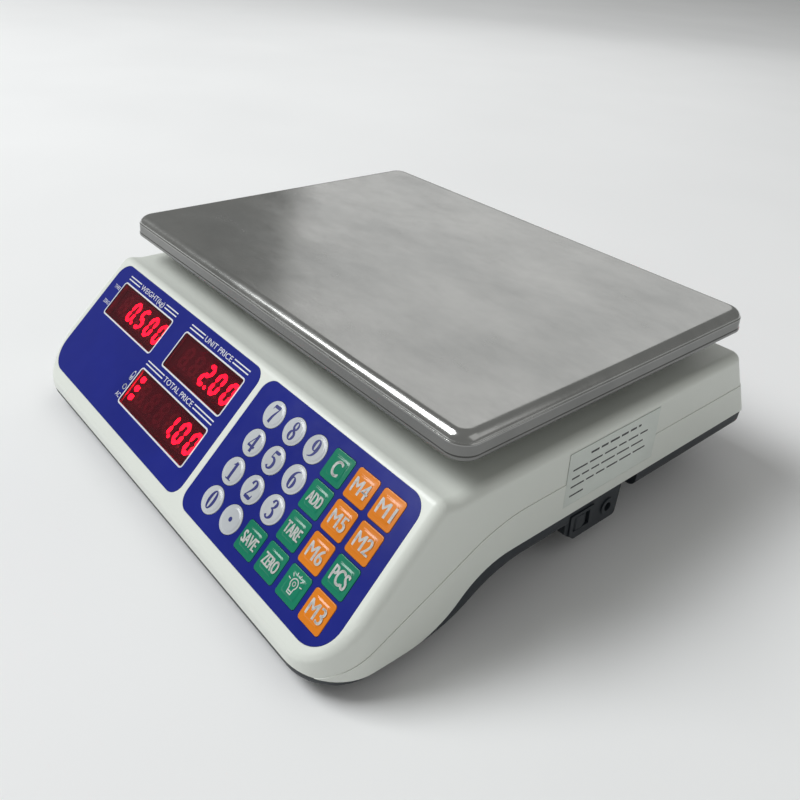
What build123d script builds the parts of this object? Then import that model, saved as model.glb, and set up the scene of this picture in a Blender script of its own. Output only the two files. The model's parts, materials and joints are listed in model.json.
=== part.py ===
from build123d import *
import os
from math import atan2, cos, degrees, radians, sin

os.makedirs("parts", exist_ok=True)

# Retail price scale, millimetres. X runs across the front, Y from the front to the back, Z up.
# The origin is on the table, midway across and midway between the front lip and the back edge.

FAR = 400.0                 # longer than anything in the scale, for cuts that run right through

# ---- housing -------------------------------------------------------------------------------
HALF_WIDTH = 167.0          # side wall to the plane of symmetry
FRONT_Y = -166.5            # front lip
BACK_TOP_Y = 144.0          # top edge of the leaning back face
BACK_LOW_Y, BACK_LOW_Z = 166.5, 36.5    # foot of the leaning back face, at the parting line
BACK_UNDER_Y = 163.5        # back edge of the underside
DECK_Z = 83.5               # flat deck under the tray
RIDGE_DROP_Y = 10.0         # the ridge in front of the deck falls to it over this length
WALL = 2.6                  # moulded wall of both shells
PANEL_REACH = 90.0          # the panel plane carries on this far down, past the front lip
OVERLAP = 0.5               # two joined forms run into each other by this much
NEARLY_NONE = 0.01
UNDER_ALL_RIMS = 15.0       # every rim that is rounded lies above this height
BASE_INSET = 0.8            # the black base stands in from the white housing
FRONT_CORNER_R = 28.0
BACK_CORNER_R = 6.5
RIM_R = 6.0                 # rounding of the top rim
CREASE_STEP = 0.4           # the skirt stands this much proud of the upper side walls

# ---- sloping control panel -----------------------------------------------------------------
SLOPE = 45.6                # panel to the table, degrees
PANEL_Y, PANEL_Z = -114.75, 73.4    # a point of the panel: the centre line of the top key row
RIDGE_UP = 17.2             # ridge above that line, along the slope
PANEL_TOP, PANEL_LOW = 14.2, -66.7  # both overlays, along the slope from that line
DISPLAY_X = (-158.3, 22.6)
KEYPAD_X = (27.5, 158.3)
OVERLAY_T = 0.4
CORNER_OUT_LOW, CORNER_OUT_TOP, CORNER_IN = 17.0, 10.0, 8.5

# ---- keys ----------------------------------------------------------------------------------
KEY_X0 = 47.7               # centre of the left key column
KEY_PITCH_X, KEY_PITCH_Y = 18.88, 17.51
KEY_SQUARE = 15.6
KEY_ROUND = 15.2
KEY_GAP = 0.2               # round each key cap
KEY_RISE = 0.3              # cap above the overlay
KEY_CAP_T = 1.6
KEY_TRAVEL = 0.5
DOME_D, DOME_H = 12.8, 0.35
ROUND_DOME_D = 13.6
PLUNGER_D = 5.0
PLUNGER_GAP = 0.1           # left over the switch when the key is right down
KEY_NAMES = [
    ["seven", "eight", "nine", "clear", "memory_4", "memory_1"],
    ["four", "five", "six", "add", "memory_5", "memory_2"],
    ["one", "two", "three", "tare", "memory_6", "pieces"],
    ["nought", "point", "save", "zero", "backlight", "memory_3"],
]
ROUND_KEYS = {"seven", "eight", "nine", "four", "five", "six", "one", "two", "three", "nought", "point"}

# ---- windows and digit modules: centre x, centre along the slope, width, height, digits -----
WINDOW_H = 23.6
WEIGHT_WINDOW = (-108.4, -8.6, 68.6, WINDOW_H, 5)
UNIT_WINDOW = (-21.9, -8.2, 68.6, WINDOW_H, 5)
TOTAL_WINDOW = (-28.5, -41.4, 81.8, WINDOW_H, 6)
REAR_WINDOWS = [(-78.0, 0.0, 68.6, WINDOW_H, 5), (0.0, 0.0, 68.6, WINDOW_H, 5),
                (85.0, 0.0, 81.8, WINDOW_H, 6)]
FILTER_T = 1.0
DIGIT_PITCH, MODULE_H, MODULE_DEPTH = 12.6, 19.0, 7.6
BOARD_T, BOARD_CORNER_R = 1.6, 1.0
BOARD_POST_D, BOARD_HOLE_D = 6.0, 3.2
BOARD_DEPTH = 11.6          # front board surface below the panel surface
SWITCH_BODY_H, SWITCH_STEM_H, SWITCH_BODY_W, SWITCH_STEM_D = 3.5, 1.4, 6.0, 3.4
REAR_OVERLAY = (3.0, 0.0, 262.0, 38.0)
STATUS_LED_D, STATUS_LED_PITCH, STATUS_LED_IN = 3.0, 6.2, 2.4
MODULE_EDGE = 1.5           # a module stands this far from the right edge of its window
MODULE_BEVEL = 0.3
FILTER_EDGE_X, FILTER_EDGE_Y = 4.0, 3.0     # filter beyond the windows
FILTER_CORNER_R, WINDOW_CORNER_R, REAR_CORNER_R = 2.0, 1.5, 5.0
SEAT_GAP = 0.15             # round the overlays in their shallow seats
KEY_HOLE = 16.4             # square hole in the housing wall behind each key
KEY_CORNER_R, KEY_EDGE_R = 1.6, 0.25

# ---- tray and weighing mechanism -----------------------------------------------------------
TRAY_W, TRAY_D = 331.0, 234.8
TRAY_Y = 22.8
TRAY_TOP_Z, TRAY_HEM_Z = 114.7, 101.7
TRAY_T = 0.8
TRAY_CORNER_R = 11.0
TRAY_SHOULDER_W, TRAY_SHOULDER_H = 6.0, 4.6
TRAY_EDGE_R = 2.5
HEM_H, HEM_PROUD = 2.4, 0.4
POST_X, POST_DY, POST_D = 110.0, 75.0, 12.0
POST_HOLE_D = 24.0
COLLAR_H, COLLAR_T = 3.0, 2.5       # rim round each post hole in the deck
POST_TOP_Z = 109.8
PAD_D = 22.0
PAD_TRAY_GAP = 0.1
CELL = (130.0, 30.0, 22.0)          # single-point load cell
CELL_HOLES = (42.0, 57.0)           # screw positions from its middle
CELL_GAP = 0.7                      # free movement kept above the live end
SPACER_H, TOP_SPACER_H, SPACER_L = 8.0, 6.0, 31.0
CELL_BORE_D, CELL_BORE_X, CELL_SLOT_H = 16.0, 12.0, 5.0
CELL_SCREW = (5.9, 10.0)            # shank and head diameters
TOP_HEAD_H, LOW_HEAD_H = 5.0, 4.0
TOP_SCREW_TIP, LOW_SCREW_TIP = 5.0, 18.0    # tips above the underside of the cell
HUB = (134.0, 40.0, 8.0)
ARM_W, ARM_H = 18.0, 9.0
M6 = 6.0
SOCKET_DEPTH, SOCKET_WIDTH = 0.6, 0.45      # drive socket, as shares of the screw's head
STOP_GAP, STOP_NUT_R, STOP_NUT_H, STOP_BITE = 0.6, 5.0, 5.0, 10.0
PAD_H, PAD_EDGE_R = 7.0, 1.5

# ---- base, feet and fastenings ---------------------------------------------------------------
CHIN_Z = 6.5                # underside of the front chin
RIM_Z = 25.0                # lower edge of the base at the sides and back
BELLY_Z = 16.0              # flat underside inside that edge
BELLY = (150.0, -48.0, 150.0)       # half width, front, back
BELLY_BEVEL = 7.0
FOOT_D, FOOT_H = 26.0, 13.0
FOOT_REAR, FOOT_FRONT = (125.0, 126.0), (125.0, -114.0)
FOOT_THREAD_H = 16.0        # stud above the top of the foot's well
FOOT_SOLE_H, FOOT_STEP, FOOT_GRIPS = 3.0, 1.5, 12
FOOT_GROOVE_R, FOOT_EDGE_R = 1.2, 1.0
WELL_D, WELL_TOP_Z = 32.0, 16.0
SCREW_SPOTS = [(156.0, 128.0, 25.0), (156.0, -31.0, 22.5), (147.0, -82.0, 12.5)]    # x, y, underside
SCREW_D, SCREW_HEAD_D, SCREW_HEAD_H = 4.0, 8.0, 2.4
SCREW_SINK, SCREW_REACH, SCREW_HOLE_H = 5.0, 23.0, 24.0     # from the underside: seat, tip, end of hole
SCREW_PLAY = 0.6            # clearance holes are wider than their screws
THREAD_PLAY = 0.1           # shanks are this much thinner than the holes they bite into
BOSS_D = 11.0
FOOT_BOSS_D, FOOT_BOSS_H = 14.0, 17.0
STOP_BOSS_D, STOP_BOSS_TOP, STOP_BOSS_HOLE = 14.0, 44.0, 12.0
BOARD_LEG_D = 7.0
RIB_X, RIB_T = 36.0, 3.0            # two ribs that carry the battery

# ---- power box at the right side -------------------------------------------------------------
BOX_Y = (-8.0, 40.0)
BOX_OUT_X, BOX_IN_X = 163.4, 147.0
BOX_LOW_Z, BOX_TOP_Z = 11.5, 36.9
BOX_WALL, BOX_FLOOR, BOX_EDGE_R = 2.4, 4.0, 2.5
BOX_END_LEAN, BOX_NOSE_Y, BOX_NOSE_Z = 3.0, 9.0, 7.0    # slant of the back end, bevel at the front end
BOX_END_T = 7.0             # solid back end of the box, behind the inlet
NOTCH_FRONT, NOTCH_BACK = 1.5, 9.0      # open space in the base before and behind the box
NOTCH_WALL = 2.6
SWITCH_Y, SWITCH_Z = 5.0, 22.5
SWITCH_SIZE = (19.0, 13.0)          # bezel along Y and Z
BEZEL_T, BEZEL_LIP, SWITCH_BODY_D = 0.9, 1.0, 11.0
ROCKER_R, ROCKER_W, ROCKER_TILT = 6.2, 8.6, 8.0
ROCKER_X, ROCKER_FACE = BOX_OUT_X - 3.4, 4.4    # its axis, and its two flats from that axis
ROCKER_BEND, ROCKER_GAP, SWITCH_PLAY = 10.0, 0.35, 0.2
SLEEVE_L, INLET_LIP, INLET_BORE_D, INLET_BORE_L, PIN_D, PIN_L = 11.0, 1.2, 5.5, 9.0, 2.1, 9.0
INLET_Y, INLET_Z, INLET_D = 28.0, 21.0, 8.0
LABEL = (20.5, 60.0, 77.0, 33.0)    # centre y, centre z, width, height
LABEL_T, LABEL_GAP = 0.2, 0.1

# ---- moulding lines along the sides, from the back to the front: level, then through a bend
CHIN_RISE = (-44.0, -112.0)
PARTING_LINE = ((FAR, 36.5), ((-56.0, 36.5), (-120.0, 11.5)), (-172.0, 15.5))
CREASE_LINE = ((FAR, 58.2), (-46.0, 58.2), (-82.0, 50.3), (-172.0, 9.2))

# ---- things inside -------------------------------------------------------------------------------
FRONT_WINDOWS = [WEIGHT_WINDOW, UNIT_WINDOW, TOTAL_WINDOW]
DISPLAY_BOARD, KEYPAD_BOARD = (-154.0, 20.0, -64.0, 12.0), (28.0, 156.0, -64.0, 14.0)
REAR_BOARD = (-126.0, 136.0, -17.0, 17.0)
DISPLAY_POSTS = [(-149.0, 6.0), (14.0, 8.5), (-149.0, -58.0), (15.5, -60.0)]
KEYPAD_POSTS = [(33.0, 10.5), (152.5, 10.5), (33.0, -61.0), (151.0, -61.0)]
REAR_POSTS = [(-120.0, 0.0), (131.0, 0.0)]
BATTERY_Y, BATTERY_Z = (-88.0, -41.0), 29.0
BATTERY_HALF, BATTERY_H, BATTERY_BEVEL = 51.0, 46.0, 1.5
TERMINAL, TERMINAL_X, TERMINAL_IN = (5.0, 0.8, 5.0), 38.0, 13.6
TRANSFORMER = (121.0, 19.0)
CORE, BOBBIN, BOBBIN_EDGE_R = (24.0, 41.0, 35.0), (38.0, 24.0, 23.0), 4.0
MAIN_BOARD, MAIN_BOARD_Z = (-148.0, -86.0, -16.0, 62.0), 29.0
MAIN_BOARD_POSTS = [(-144.0, -12.0), (-90.0, -12.0), (-144.0, 58.0), (-90.0, 58.0)]
MAIN_BOARD_CHIPS = [(-118.0, 22.0, 14.0, 14.0, 2.2), (-100.0, 44.0, 10.0, 20.0, 9.0),
                    (-136.0, 44.0, 8.0, 24.0, 8.0), (-100.0, 2.0, 12.0, 8.0, 3.0)]
BUZZER = (-134.0, 2.0)
BUZZER_D, BUZZER_H, BUZZER_HOLE_D, BUZZER_EDGE_R = 12.0, 9.0, 2.4, 0.8

PANEL = Plane(origin=(0, PANEL_Y, PANEL_Z), x_dir=(1, 0, 0),
              z_dir=(0, -sin(radians(SLOPE)), cos(radians(SLOPE))))
RIDGE = PANEL.from_local_coords((0, RIDGE_UP, 0))
DECK_START_Y = RIDGE.Y + RIDGE_DROP_Y
back_run, back_rise = BACK_LOW_Y - BACK_TOP_Y, DECK_Z - BACK_LOW_Z
back_length = (back_run ** 2 + back_rise ** 2) ** 0.5
REAR = Plane(origin=(0, BACK_TOP_Y + 0.44 * back_run, DECK_Z - 0.44 * back_rise), x_dir=(-1, 0, 0),
             z_dir=(0, back_rise / back_length, back_run / back_length))
CELL_Z = BELLY_Z + WALL + SPACER_H
SPIDER_Z = CELL_Z + CELL[2] + CELL_GAP + TOP_SPACER_H


# ---- small helpers ---------------------------------------------------------------------------
def write(shape, name):
    export_step(shape, f"parts/{name}.step")


def side_prism(edges, half_width):
    """Closed outline in the YZ plane, extruded to both sides of the plane of symmetry."""
    return extrude(make_face(edges), amount=half_width, dir=(1, 0, 0), both=True)


def yz(points):
    return [(0, y, z) for y, z in points]


def block(x0, x1, y0, y1, z0, z1):
    return Pos((x0 + x1) / 2, (y0 + y1) / 2, (z0 + z1) / 2) * Box(x1 - x0, y1 - y0, z1 - z0)


def post(x, y, z0, z1, diameter):
    return Pos(x, y, (z0 + z1) / 2) * Cylinder(diameter / 2, z1 - z0)


def on_plane(plane, x, y, z0, z1, sketch):
    """A sketch raised between two heights above a sloping plane."""
    return extrude(plane * Pos(x, y, z0) * sketch, amount=z1 - z0)


def rounded_panel(x0, x1, y0, y1, radii):
    """Rectangle with its own radius at each corner: low left, low right, top right, top left."""
    face = Pos((x0 + x1) / 2, (y0 + y1) / 2) * Rectangle(x1 - x0, y1 - y0)
    corners = [(x0, y0), (x1, y0), (x1, y1), (x0, y1)]
    for corner, radius in zip(corners, radii):
        vertex = face.vertices().sort_by_distance((corner[0], corner[1], 0))[0]
        face = fillet(vertex, radius)
    return face


def s_bend(start, end):
    """Two equal arcs that leave start and reach end level, towards the front."""
    middle = ((start[0] + end[0]) / 2, (start[1] + end[1]) / 2)
    return [TangentArc(*yz([start, middle]), tangent=(0, -1, 0)),
            TangentArc(*yz([end, middle]), tangent=(0, 1, 0))]


# ---- outer and inner forms of the body ---------------------------------------------------------
def body_form(inset, narrow=0.0):
    """The whole body, housing and base together, with every wall moved in by inset."""
    half = HALF_WIDTH - inset - narrow
    low = PANEL.from_local_coords((0, -PANEL_REACH, 0))
    upper = [(low.Y, low.Z), (RIDGE.Y, RIDGE.Z), (DECK_START_Y, DECK_Z), (BACK_TOP_Y, DECK_Z),
             (BACK_LOW_Y, BACK_LOW_Z), (BACK_UNDER_Y, RIM_Z), (CHIN_RISE[0], RIM_Z)]
    under = [(CHIN_RISE[1], CHIN_Z), (low.Y, CHIN_Z), (low.Y, low.Z)]
    lines = [Polyline(*yz(upper)), *s_bend(upper[-1], under[0]), Polyline(*yz(under))]
    face = make_face([edge for line in lines for edge in line.edges()])
    if inset:
        face = offset(face, -inset, kind=Kind.INTERSECTION)
    form = Part() + extrude(face, amount=half, dir=(1, 0, 0), both=True)
    corner_r = FRONT_CORNER_R - inset
    plan = rounded_panel(-half, half, FRONT_Y + inset, FAR, (corner_r, corner_r, 1, 1))
    form = form & extrude(plan, amount=FAR)
    form = Part() + form
    upright = [e for e in form.edges() if abs(e.center().X) > half - 0.1 and e.center().Y > BACK_TOP_Y
               and e.length > 5 and e.bounding_box().size.Z > 5]
    form = fillet(upright, BACK_CORNER_R - inset)
    return fillet([e for e in form.edges() if is_rim(e)], RIM_R - inset)


def is_rim(edge):
    """True for the edges that close the panel, the deck and the top of the back face."""
    box = edge.bounding_box()
    if box.size.X > HALF_WIDTH:
        in_valley = abs(box.min.Y - DECK_START_Y) < WALL + OVERLAP
        low_at_back = box.min.Y > BACK_TOP_Y and box.min.Z < DECK_Z / 2
        return box.min.Z > UNDER_ALL_RIMS and not in_valley and not low_at_back
    upright = box.size.X < NEARLY_NONE and box.size.Y < NEARLY_NONE
    low_at_back = box.min.Y > 0 and box.min.Z < DECK_Z / 2
    outside = abs(edge.center().X) > HALF_WIDTH - FRONT_CORNER_R
    return outside and box.min.Z > UNDER_ALL_RIMS and not upright and not low_at_back


def below(lines, back, front_end):
    """Everything under a run of lines that goes from the back to the front."""
    corners = [front_end, (-FAR, front_end[1]), (-FAR, -FAR), (FAR, -FAR), back]
    return side_prism([edge for line in [*lines, Polyline(*yz(corners))] for edge in line.edges()], FAR)


def below_parting():
    back, (start, end), front_end = PARTING_LINE
    front_arc = TangentArc(*yz([end, front_end]), tangent=(0, -1, 0))
    return below([Line(*yz([back, start])), *s_bend(start, end), front_arc], back, front_end)


def below_crease():
    back, start, end, front_end = CREASE_LINE
    arc = TangentArc(*yz([start, end]), tangent=(0, -1, 0))
    return below([Line(*yz([back, start])), arc, Line(*yz([end, front_end]))], back, front_end)


def mirrored(shape):
    """A shape and its twin on the other side."""
    return shape + mirror(shape, about=Plane.YZ)


def inside(shape, form):
    """The part of a shape that lies within a form."""
    return Part() + (shape & form)


# ---- shells ------------------------------------------------------------------------------------
def window_cuts(plane, windows):
    """Openings through the wall for the digit modules, and the shallow seat of the red filter."""
    cuts = Part()
    for x, y, width, height, digits in windows:
        cuts += on_plane(plane, x, y, -WALL - 1, 1, Rectangle(width, height))
    return cuts


def filter_outline(windows):
    x0 = min(x - w / 2 for x, y, w, h, n in windows) - FILTER_EDGE_X
    x1 = max(x + w / 2 for x, y, w, h, n in windows) + FILTER_EDGE_X
    y0 = min(y - h / 2 for x, y, w, h, n in windows) - FILTER_EDGE_Y
    y1 = max(y + h / 2 for x, y, w, h, n in windows) + FILTER_EDGE_Y
    return rounded_panel(x0, x1, y0, y1, [FILTER_CORNER_R] * 4)


def front_outline(x_range, grow=0.0):
    inner, outer = (CORNER_IN, CORNER_IN), (CORNER_OUT_LOW, CORNER_OUT_TOP)
    left = outer if x_range == DISPLAY_X else inner
    right = outer if x_range == KEYPAD_X else inner
    return rounded_panel(x_range[0] - grow, x_range[1] + grow, PANEL_LOW - grow, PANEL_TOP + grow,
                         (left[0], right[0], right[1], left[1]))


def rear_outline(grow=0.0):
    x, y, width, height = REAR_OVERLAY
    return rounded_panel(x - width / 2 - grow, x + width / 2 + grow, y - height / 2 - grow,
                         y + height / 2 + grow, [REAR_CORNER_R] * 4)


def key_spots():
    for row, names in enumerate(KEY_NAMES):
        for column, name in enumerate(names):
            yield name, KEY_X0 + column * KEY_PITCH_X, -row * KEY_PITCH_Y


def board_posts(plane, spots):
    posts = Part()
    for x, y in spots:
        posts += on_plane(plane, x, y, -BOARD_DEPTH, -WALL + OVERLAP, Circle(BOARD_POST_D / 2))
    return posts


def post_spots():
    return [(sx * POST_X, TRAY_Y + sy * POST_DY) for sx in (-1, 1) for sy in (-1, 1)]


def upper_housing():
    inner = body_form(WALL)
    skirt = inside(below_crease(), body_form(0))
    shell = body_form(0, CREASE_STEP) + skirt - inner
    for x, y in post_spots():
        shell += post(x, y, DECK_Z - WALL, DECK_Z + COLLAR_H, POST_HOLE_D + 2 * COLLAR_T)
    for x, y, low in SCREW_SPOTS:
        shell += mirrored(inside(post(x, y, low, FAR, BOSS_D), body_form(1)))
    shell -= below_parting()
    for x, y in post_spots():
        shell -= post(x, y, DECK_Z - 2 * WALL, FAR, POST_HOLE_D)
    for x, y, low in SCREW_SPOTS:
        shell -= mirrored(post(x, y, 0, low + SCREW_HOLE_H, SCREW_D))
    shell += board_posts(PANEL, DISPLAY_POSTS + KEYPAD_POSTS) + board_posts(REAR, REAR_POSTS)
    for outline in (front_outline(DISPLAY_X, SEAT_GAP), front_outline(KEYPAD_X, SEAT_GAP)):
        shell -= on_plane(PANEL, 0, 0, -OVERLAY_T, 2, outline)
    shell -= on_plane(PANEL, 0, 0, -OVERLAY_T - FILTER_T, 2, filter_outline(FRONT_WINDOWS))
    shell -= window_cuts(PANEL, FRONT_WINDOWS)
    for name, x, y in key_spots():
        shell -= on_plane(PANEL, x, y, -WALL - 1, 1, Rectangle(KEY_HOLE, KEY_HOLE))
    shell -= on_plane(REAR, 0, 0, -OVERLAY_T, 2, rear_outline(SEAT_GAP))
    shell -= on_plane(REAR, 0, 0, -OVERLAY_T - FILTER_T, 2, filter_outline(REAR_WINDOWS))
    shell -= window_cuts(REAR, REAR_WINDOWS)
    y, z, width, height = LABEL
    half_y, half_z = width / 2 + LABEL_GAP, height / 2 + LABEL_GAP
    return shell - block(HALF_WIDTH - LABEL_T, FAR, y - half_y, y + half_y, z - half_z, z + half_z)


def box_outline():
    """Side outline of the power box, with its leaning back end."""
    y0, y1 = BOX_Y
    points = [(y0, BOX_TOP_Z), (y1, BOX_TOP_Z), (y1 - BOX_END_LEAN, BOX_LOW_Z), (y0 + BOX_NOSE_Y, BOX_LOW_Z),
              (y0, BOX_LOW_Z + BOX_NOSE_Z)]
    return make_face(Polyline(*yz(points), close=True))


def base_shell():
    outer, inner = body_form(BASE_INSET), body_form(BASE_INSET + WALL)
    half, front, back = BELLY
    belly = block(-half, half, front, back, BELLY_Z, RIM_Z + 2)
    belly = chamfer(belly.faces().sort_by(Axis.Z)[0].edges(), BELLY_BEVEL)
    hollow = block(-half + WALL, half - WALL, front + WALL, back - WALL, BELLY_Z + WALL, RIM_Z + 12)
    hollow = chamfer(hollow.faces().sort_by(Axis.Z)[0].edges(), BELLY_BEVEL)
    shell = inside(below_parting(), outer) + belly - inner - hollow

    shell += mirrored(inside(post(*FOOT_FRONT, CHIN_Z, WELL_TOP_Z + WALL, WELL_D + 2 * WALL), outer))
    for x, y, low in SCREW_SPOTS:
        boss_top = PARTING_LINE[0][1] if y > PARTING_LINE[1][0][0] else low + BOSS_D
        column = mirrored(post(x, y, low, boss_top, BOSS_D))
        shell += inside(inside(column, below_parting()), outer)
    for x, y in (FOOT_FRONT, FOOT_REAR):
        shell += mirrored(post(x, y, WELL_TOP_Z + OVERLAP, WELL_TOP_Z + FOOT_BOSS_H, FOOT_BOSS_D))
    for x, y in post_spots():
        shell += post(x, y, BELLY_Z + OVERLAP, STOP_BOSS_TOP, STOP_BOSS_D)
    for x in (-RIB_X, RIB_X):
        rib = block(x - RIB_T / 2, x + RIB_T / 2, *BATTERY_Y, CHIN_Z + OVERLAP, BATTERY_Z)
        shell += inside(rib, Part() + outer + belly)
    for x, y in MAIN_BOARD_POSTS:
        shell += post(x, y, BELLY_Z + OVERLAP, MAIN_BOARD_Z, BOARD_LEG_D)

    wall_x = BOX_IN_X + BOX_WALL
    notch_y = (BOX_Y[0] - NOTCH_FRONT, BOX_Y[1] + NOTCH_BACK)
    wall_y = (notch_y[0] - NOTCH_WALL, notch_y[1] + NOTCH_WALL)
    walls = block(wall_x, HALF_WIDTH - BASE_INSET, *wall_y, BELLY_Z, PARTING_LINE[0][1])
    walls = inside(walls, Part() + outer + belly + block(0, wall_x + NOTCH_WALL, *wall_y, BELLY_Z, BOX_TOP_Z))
    shell = shell + walls - block(wall_x + NOTCH_WALL, FAR, *notch_y, -FAR, FAR)
    box = Pos(wall_x, 0, 0) * extrude(box_outline(), amount=BOX_OUT_X - wall_x, dir=(1, 0, 0))
    shell += fillet(box.edges().filter_by(Axis.X), BOX_EDGE_R)
    shell -= block(BOX_IN_X - 1, BOX_OUT_X - BOX_WALL, BOX_Y[0] + BOX_WALL, BOX_Y[1] - BOX_END_T,
                   BOX_LOW_Z + BOX_FLOOR, BOX_TOP_Z - BOX_WALL)

    for x, y, low in SCREW_SPOTS:
        shell -= mirrored(post(x, y, 0, FAR, SCREW_D + SCREW_PLAY))
        shell -= mirrored(post(x, y, 0, low + SCREW_SINK, SCREW_HEAD_D + SCREW_PLAY))
    for x, y in (FOOT_FRONT, FOOT_REAR):
        shell -= mirrored(post(x, y, 0, FAR, M6 + SCREW_PLAY))
    shell -= mirrored(post(*FOOT_FRONT, 0, WELL_TOP_Z, WELL_D))
    for x, y in post_spots():
        shell -= post(x, y, STOP_BOSS_TOP - STOP_BOSS_HOLE, FAR, M6)
    for x in CELL_HOLES:
        shell -= post(-x, TRAY_Y, 0, FAR, M6 + THREAD_PLAY)
    slot_y, slot_z = SWITCH_SIZE
    half_y, half_z = slot_y / 2 - BEZEL_LIP, slot_z / 2 - BEZEL_LIP
    shell -= block(BOX_OUT_X - 2 * BOX_WALL, FAR, SWITCH_Y - half_y, SWITCH_Y + half_y,
                   SWITCH_Z - half_z, SWITCH_Z + half_z)
    return shell - Pos(BOX_OUT_X, INLET_Y, INLET_Z) * Rot(0, 90, 0) * Cylinder(INLET_D / 2, 4 * BOX_WALL)


# ---- tray and weighing mechanism ---------------------------------------------------------------
def tray_form(shrink, bottom, top):
    plan = RectangleRounded(TRAY_W - 2 * shrink, TRAY_D - 2 * shrink, TRAY_CORNER_R - shrink)
    form = Pos(0, TRAY_Y, bottom) * extrude(plan, amount=top - bottom)
    rim = form.faces().sort_by(Axis.Z)[-1]
    form = chamfer(rim.edges(), TRAY_SHOULDER_H, TRAY_SHOULDER_W, reference=rim)
    return form


def weighing_tray():
    shell = tray_form(0, TRAY_HEM_Z, TRAY_TOP_Z)
    hem = extrude(RectangleRounded(TRAY_W + 2 * HEM_PROUD, TRAY_D + 2 * HEM_PROUD, TRAY_CORNER_R + HEM_PROUD),
                  amount=HEM_H)
    shell += Pos(0, TRAY_Y, TRAY_HEM_Z) * hem
    shoulder_z = TRAY_TOP_Z - TRAY_SHOULDER_H - NEARLY_NONE
    shell = fillet([e for e in shell.edges() if e.center().Z > shoulder_z], TRAY_EDGE_R)
    return shell - tray_form(TRAY_T, TRAY_HEM_Z - 1, TRAY_TOP_Z - TRAY_T)


def tray_support():
    x, y, height = HUB
    spider = Pos(0, TRAY_Y, SPIDER_Z + height / 2) * Box(x, y, height)
    for px, py in post_spots():
        dx, dy = px, py - TRAY_Y
        length = (dx * dx + dy * dy) ** 0.5
        arm = Rot(0, 0, degrees(atan2(dy, dx))) * Box(length, ARM_W, ARM_H)
        spider += Pos(px / 2, TRAY_Y + dy / 2, SPIDER_Z + ARM_H / 2) * arm
        spider += post(px, py, SPIDER_Z, SPIDER_Z + ARM_H, ARM_W) + post(px, py, SPIDER_Z, POST_TOP_Z, POST_D)
    for x in CELL_HOLES:
        spider -= post(x, TRAY_Y, 0, FAR, M6 + THREAD_PLAY)
    return spider


def tray_pads():
    pads = []
    for x, y in post_spots():
        top = TRAY_TOP_Z - TRAY_T - PAD_TRAY_GAP
        pad = post(x, y, POST_TOP_Z - PAD_H, top, PAD_D)
        pad = fillet(pad.faces().sort_by(Axis.Z)[-1].edges(), PAD_EDGE_R)
        pads.append(pad - post(x, y, 0, POST_TOP_Z, POST_D))
    return Compound(pads)


def load_cell():
    length, width, height = CELL
    middle = CELL_Z + height / 2
    bar = Pos(0, TRAY_Y, middle) * Box(length, width, height)
    for x in (-CELL_BORE_X, CELL_BORE_X):
        bar -= Pos(x, TRAY_Y, middle) * Rot(90, 0, 0) * Cylinder(CELL_BORE_D / 2, 2 * width)
    bar -= Pos(0, TRAY_Y, middle) * Box(2 * CELL_BORE_X, 2 * width, CELL_SLOT_H)
    for x in CELL_HOLES:
        bar -= post(-x, TRAY_Y, 0, FAR, M6)
        bar -= post(x, TRAY_Y, 0, FAR, M6 + SCREW_PLAY)
    return bar


def cell_spacer(side, bottom, height):
    spacer = Pos(side * sum(CELL_HOLES) / 2, TRAY_Y, bottom + height / 2) * Box(SPACER_L, CELL[1], height)
    for x in CELL_HOLES:
        spacer -= post(side * x, TRAY_Y, 0, FAR, M6 + SCREW_PLAY)
    return spacer


def cap_screw(x, y, head_z, tip_z, diameter, head_d, head_h):
    """Screw with its head on the far side of head_z from its tip."""
    up = 1 if head_z > tip_z else -1
    shank = post(x, y, min(head_z, tip_z), max(head_z, tip_z), diameter)
    head = post(x, y, min(head_z, head_z + up * head_h), max(head_z, head_z + up * head_h), head_d)
    end = head_z + up * head_h
    socket_end = end - up * head_h * SOCKET_DEPTH
    socket = post(x, y, min(end, socket_end), max(end, socket_end), head_d * SOCKET_WIDTH)
    return shank + head - socket


def cell_top_screws():
    top = SPIDER_Z + HUB[2]
    return Compound([cap_screw(x, TRAY_Y, top, CELL_Z + TOP_SCREW_TIP, *CELL_SCREW, TOP_HEAD_H)
                     for x in CELL_HOLES])


def base_screws():
    cell = [cap_screw(-x, TRAY_Y, BELLY_Z, CELL_Z + LOW_SCREW_TIP, *CELL_SCREW, LOW_HEAD_H)
            for x in CELL_HOLES]
    shank = SCREW_D - THREAD_PLAY
    shell = [cap_screw(side * x, y, low + SCREW_SINK, low + SCREW_REACH, shank, SCREW_HEAD_D, SCREW_HEAD_H)
             for x, y, low in SCREW_SPOTS for side in (-1, 1)]
    return Compound(cell + shell)


def overload_stops():
    stops = []
    for x, y in post_spots():
        stem = post(x, y, STOP_BOSS_TOP - STOP_BITE, SPIDER_Z - STOP_GAP, M6 - THREAD_PLAY)
        nut = extrude(Pos(x, y, STOP_BOSS_TOP) * RegularPolygon(STOP_NUT_R, 6), amount=STOP_NUT_H)
        stops.append(stem + nut)
    return Compound(stops)


# ---- panel, displays and keys --------------------------------------------------------------------
def overlay(plane, outline, holes):
    sheet = on_plane(plane, 0, 0, -OVERLAY_T, 0, outline)
    for hole in holes:
        sheet -= hole
    return sheet


def window_holes(plane, windows):
    return [on_plane(plane, x, y, -2, 2, RectangleRounded(w, h, WINDOW_CORNER_R))
            for x, y, w, h, n in windows]


def is_round(name):
    return name in ROUND_KEYS


def key_face(name, grow=0.0):
    if is_round(name):
        return Circle(KEY_ROUND / 2 + grow)
    return RectangleRounded(KEY_SQUARE + 2 * grow, KEY_SQUARE + 2 * grow, KEY_CORNER_R + grow)


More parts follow.
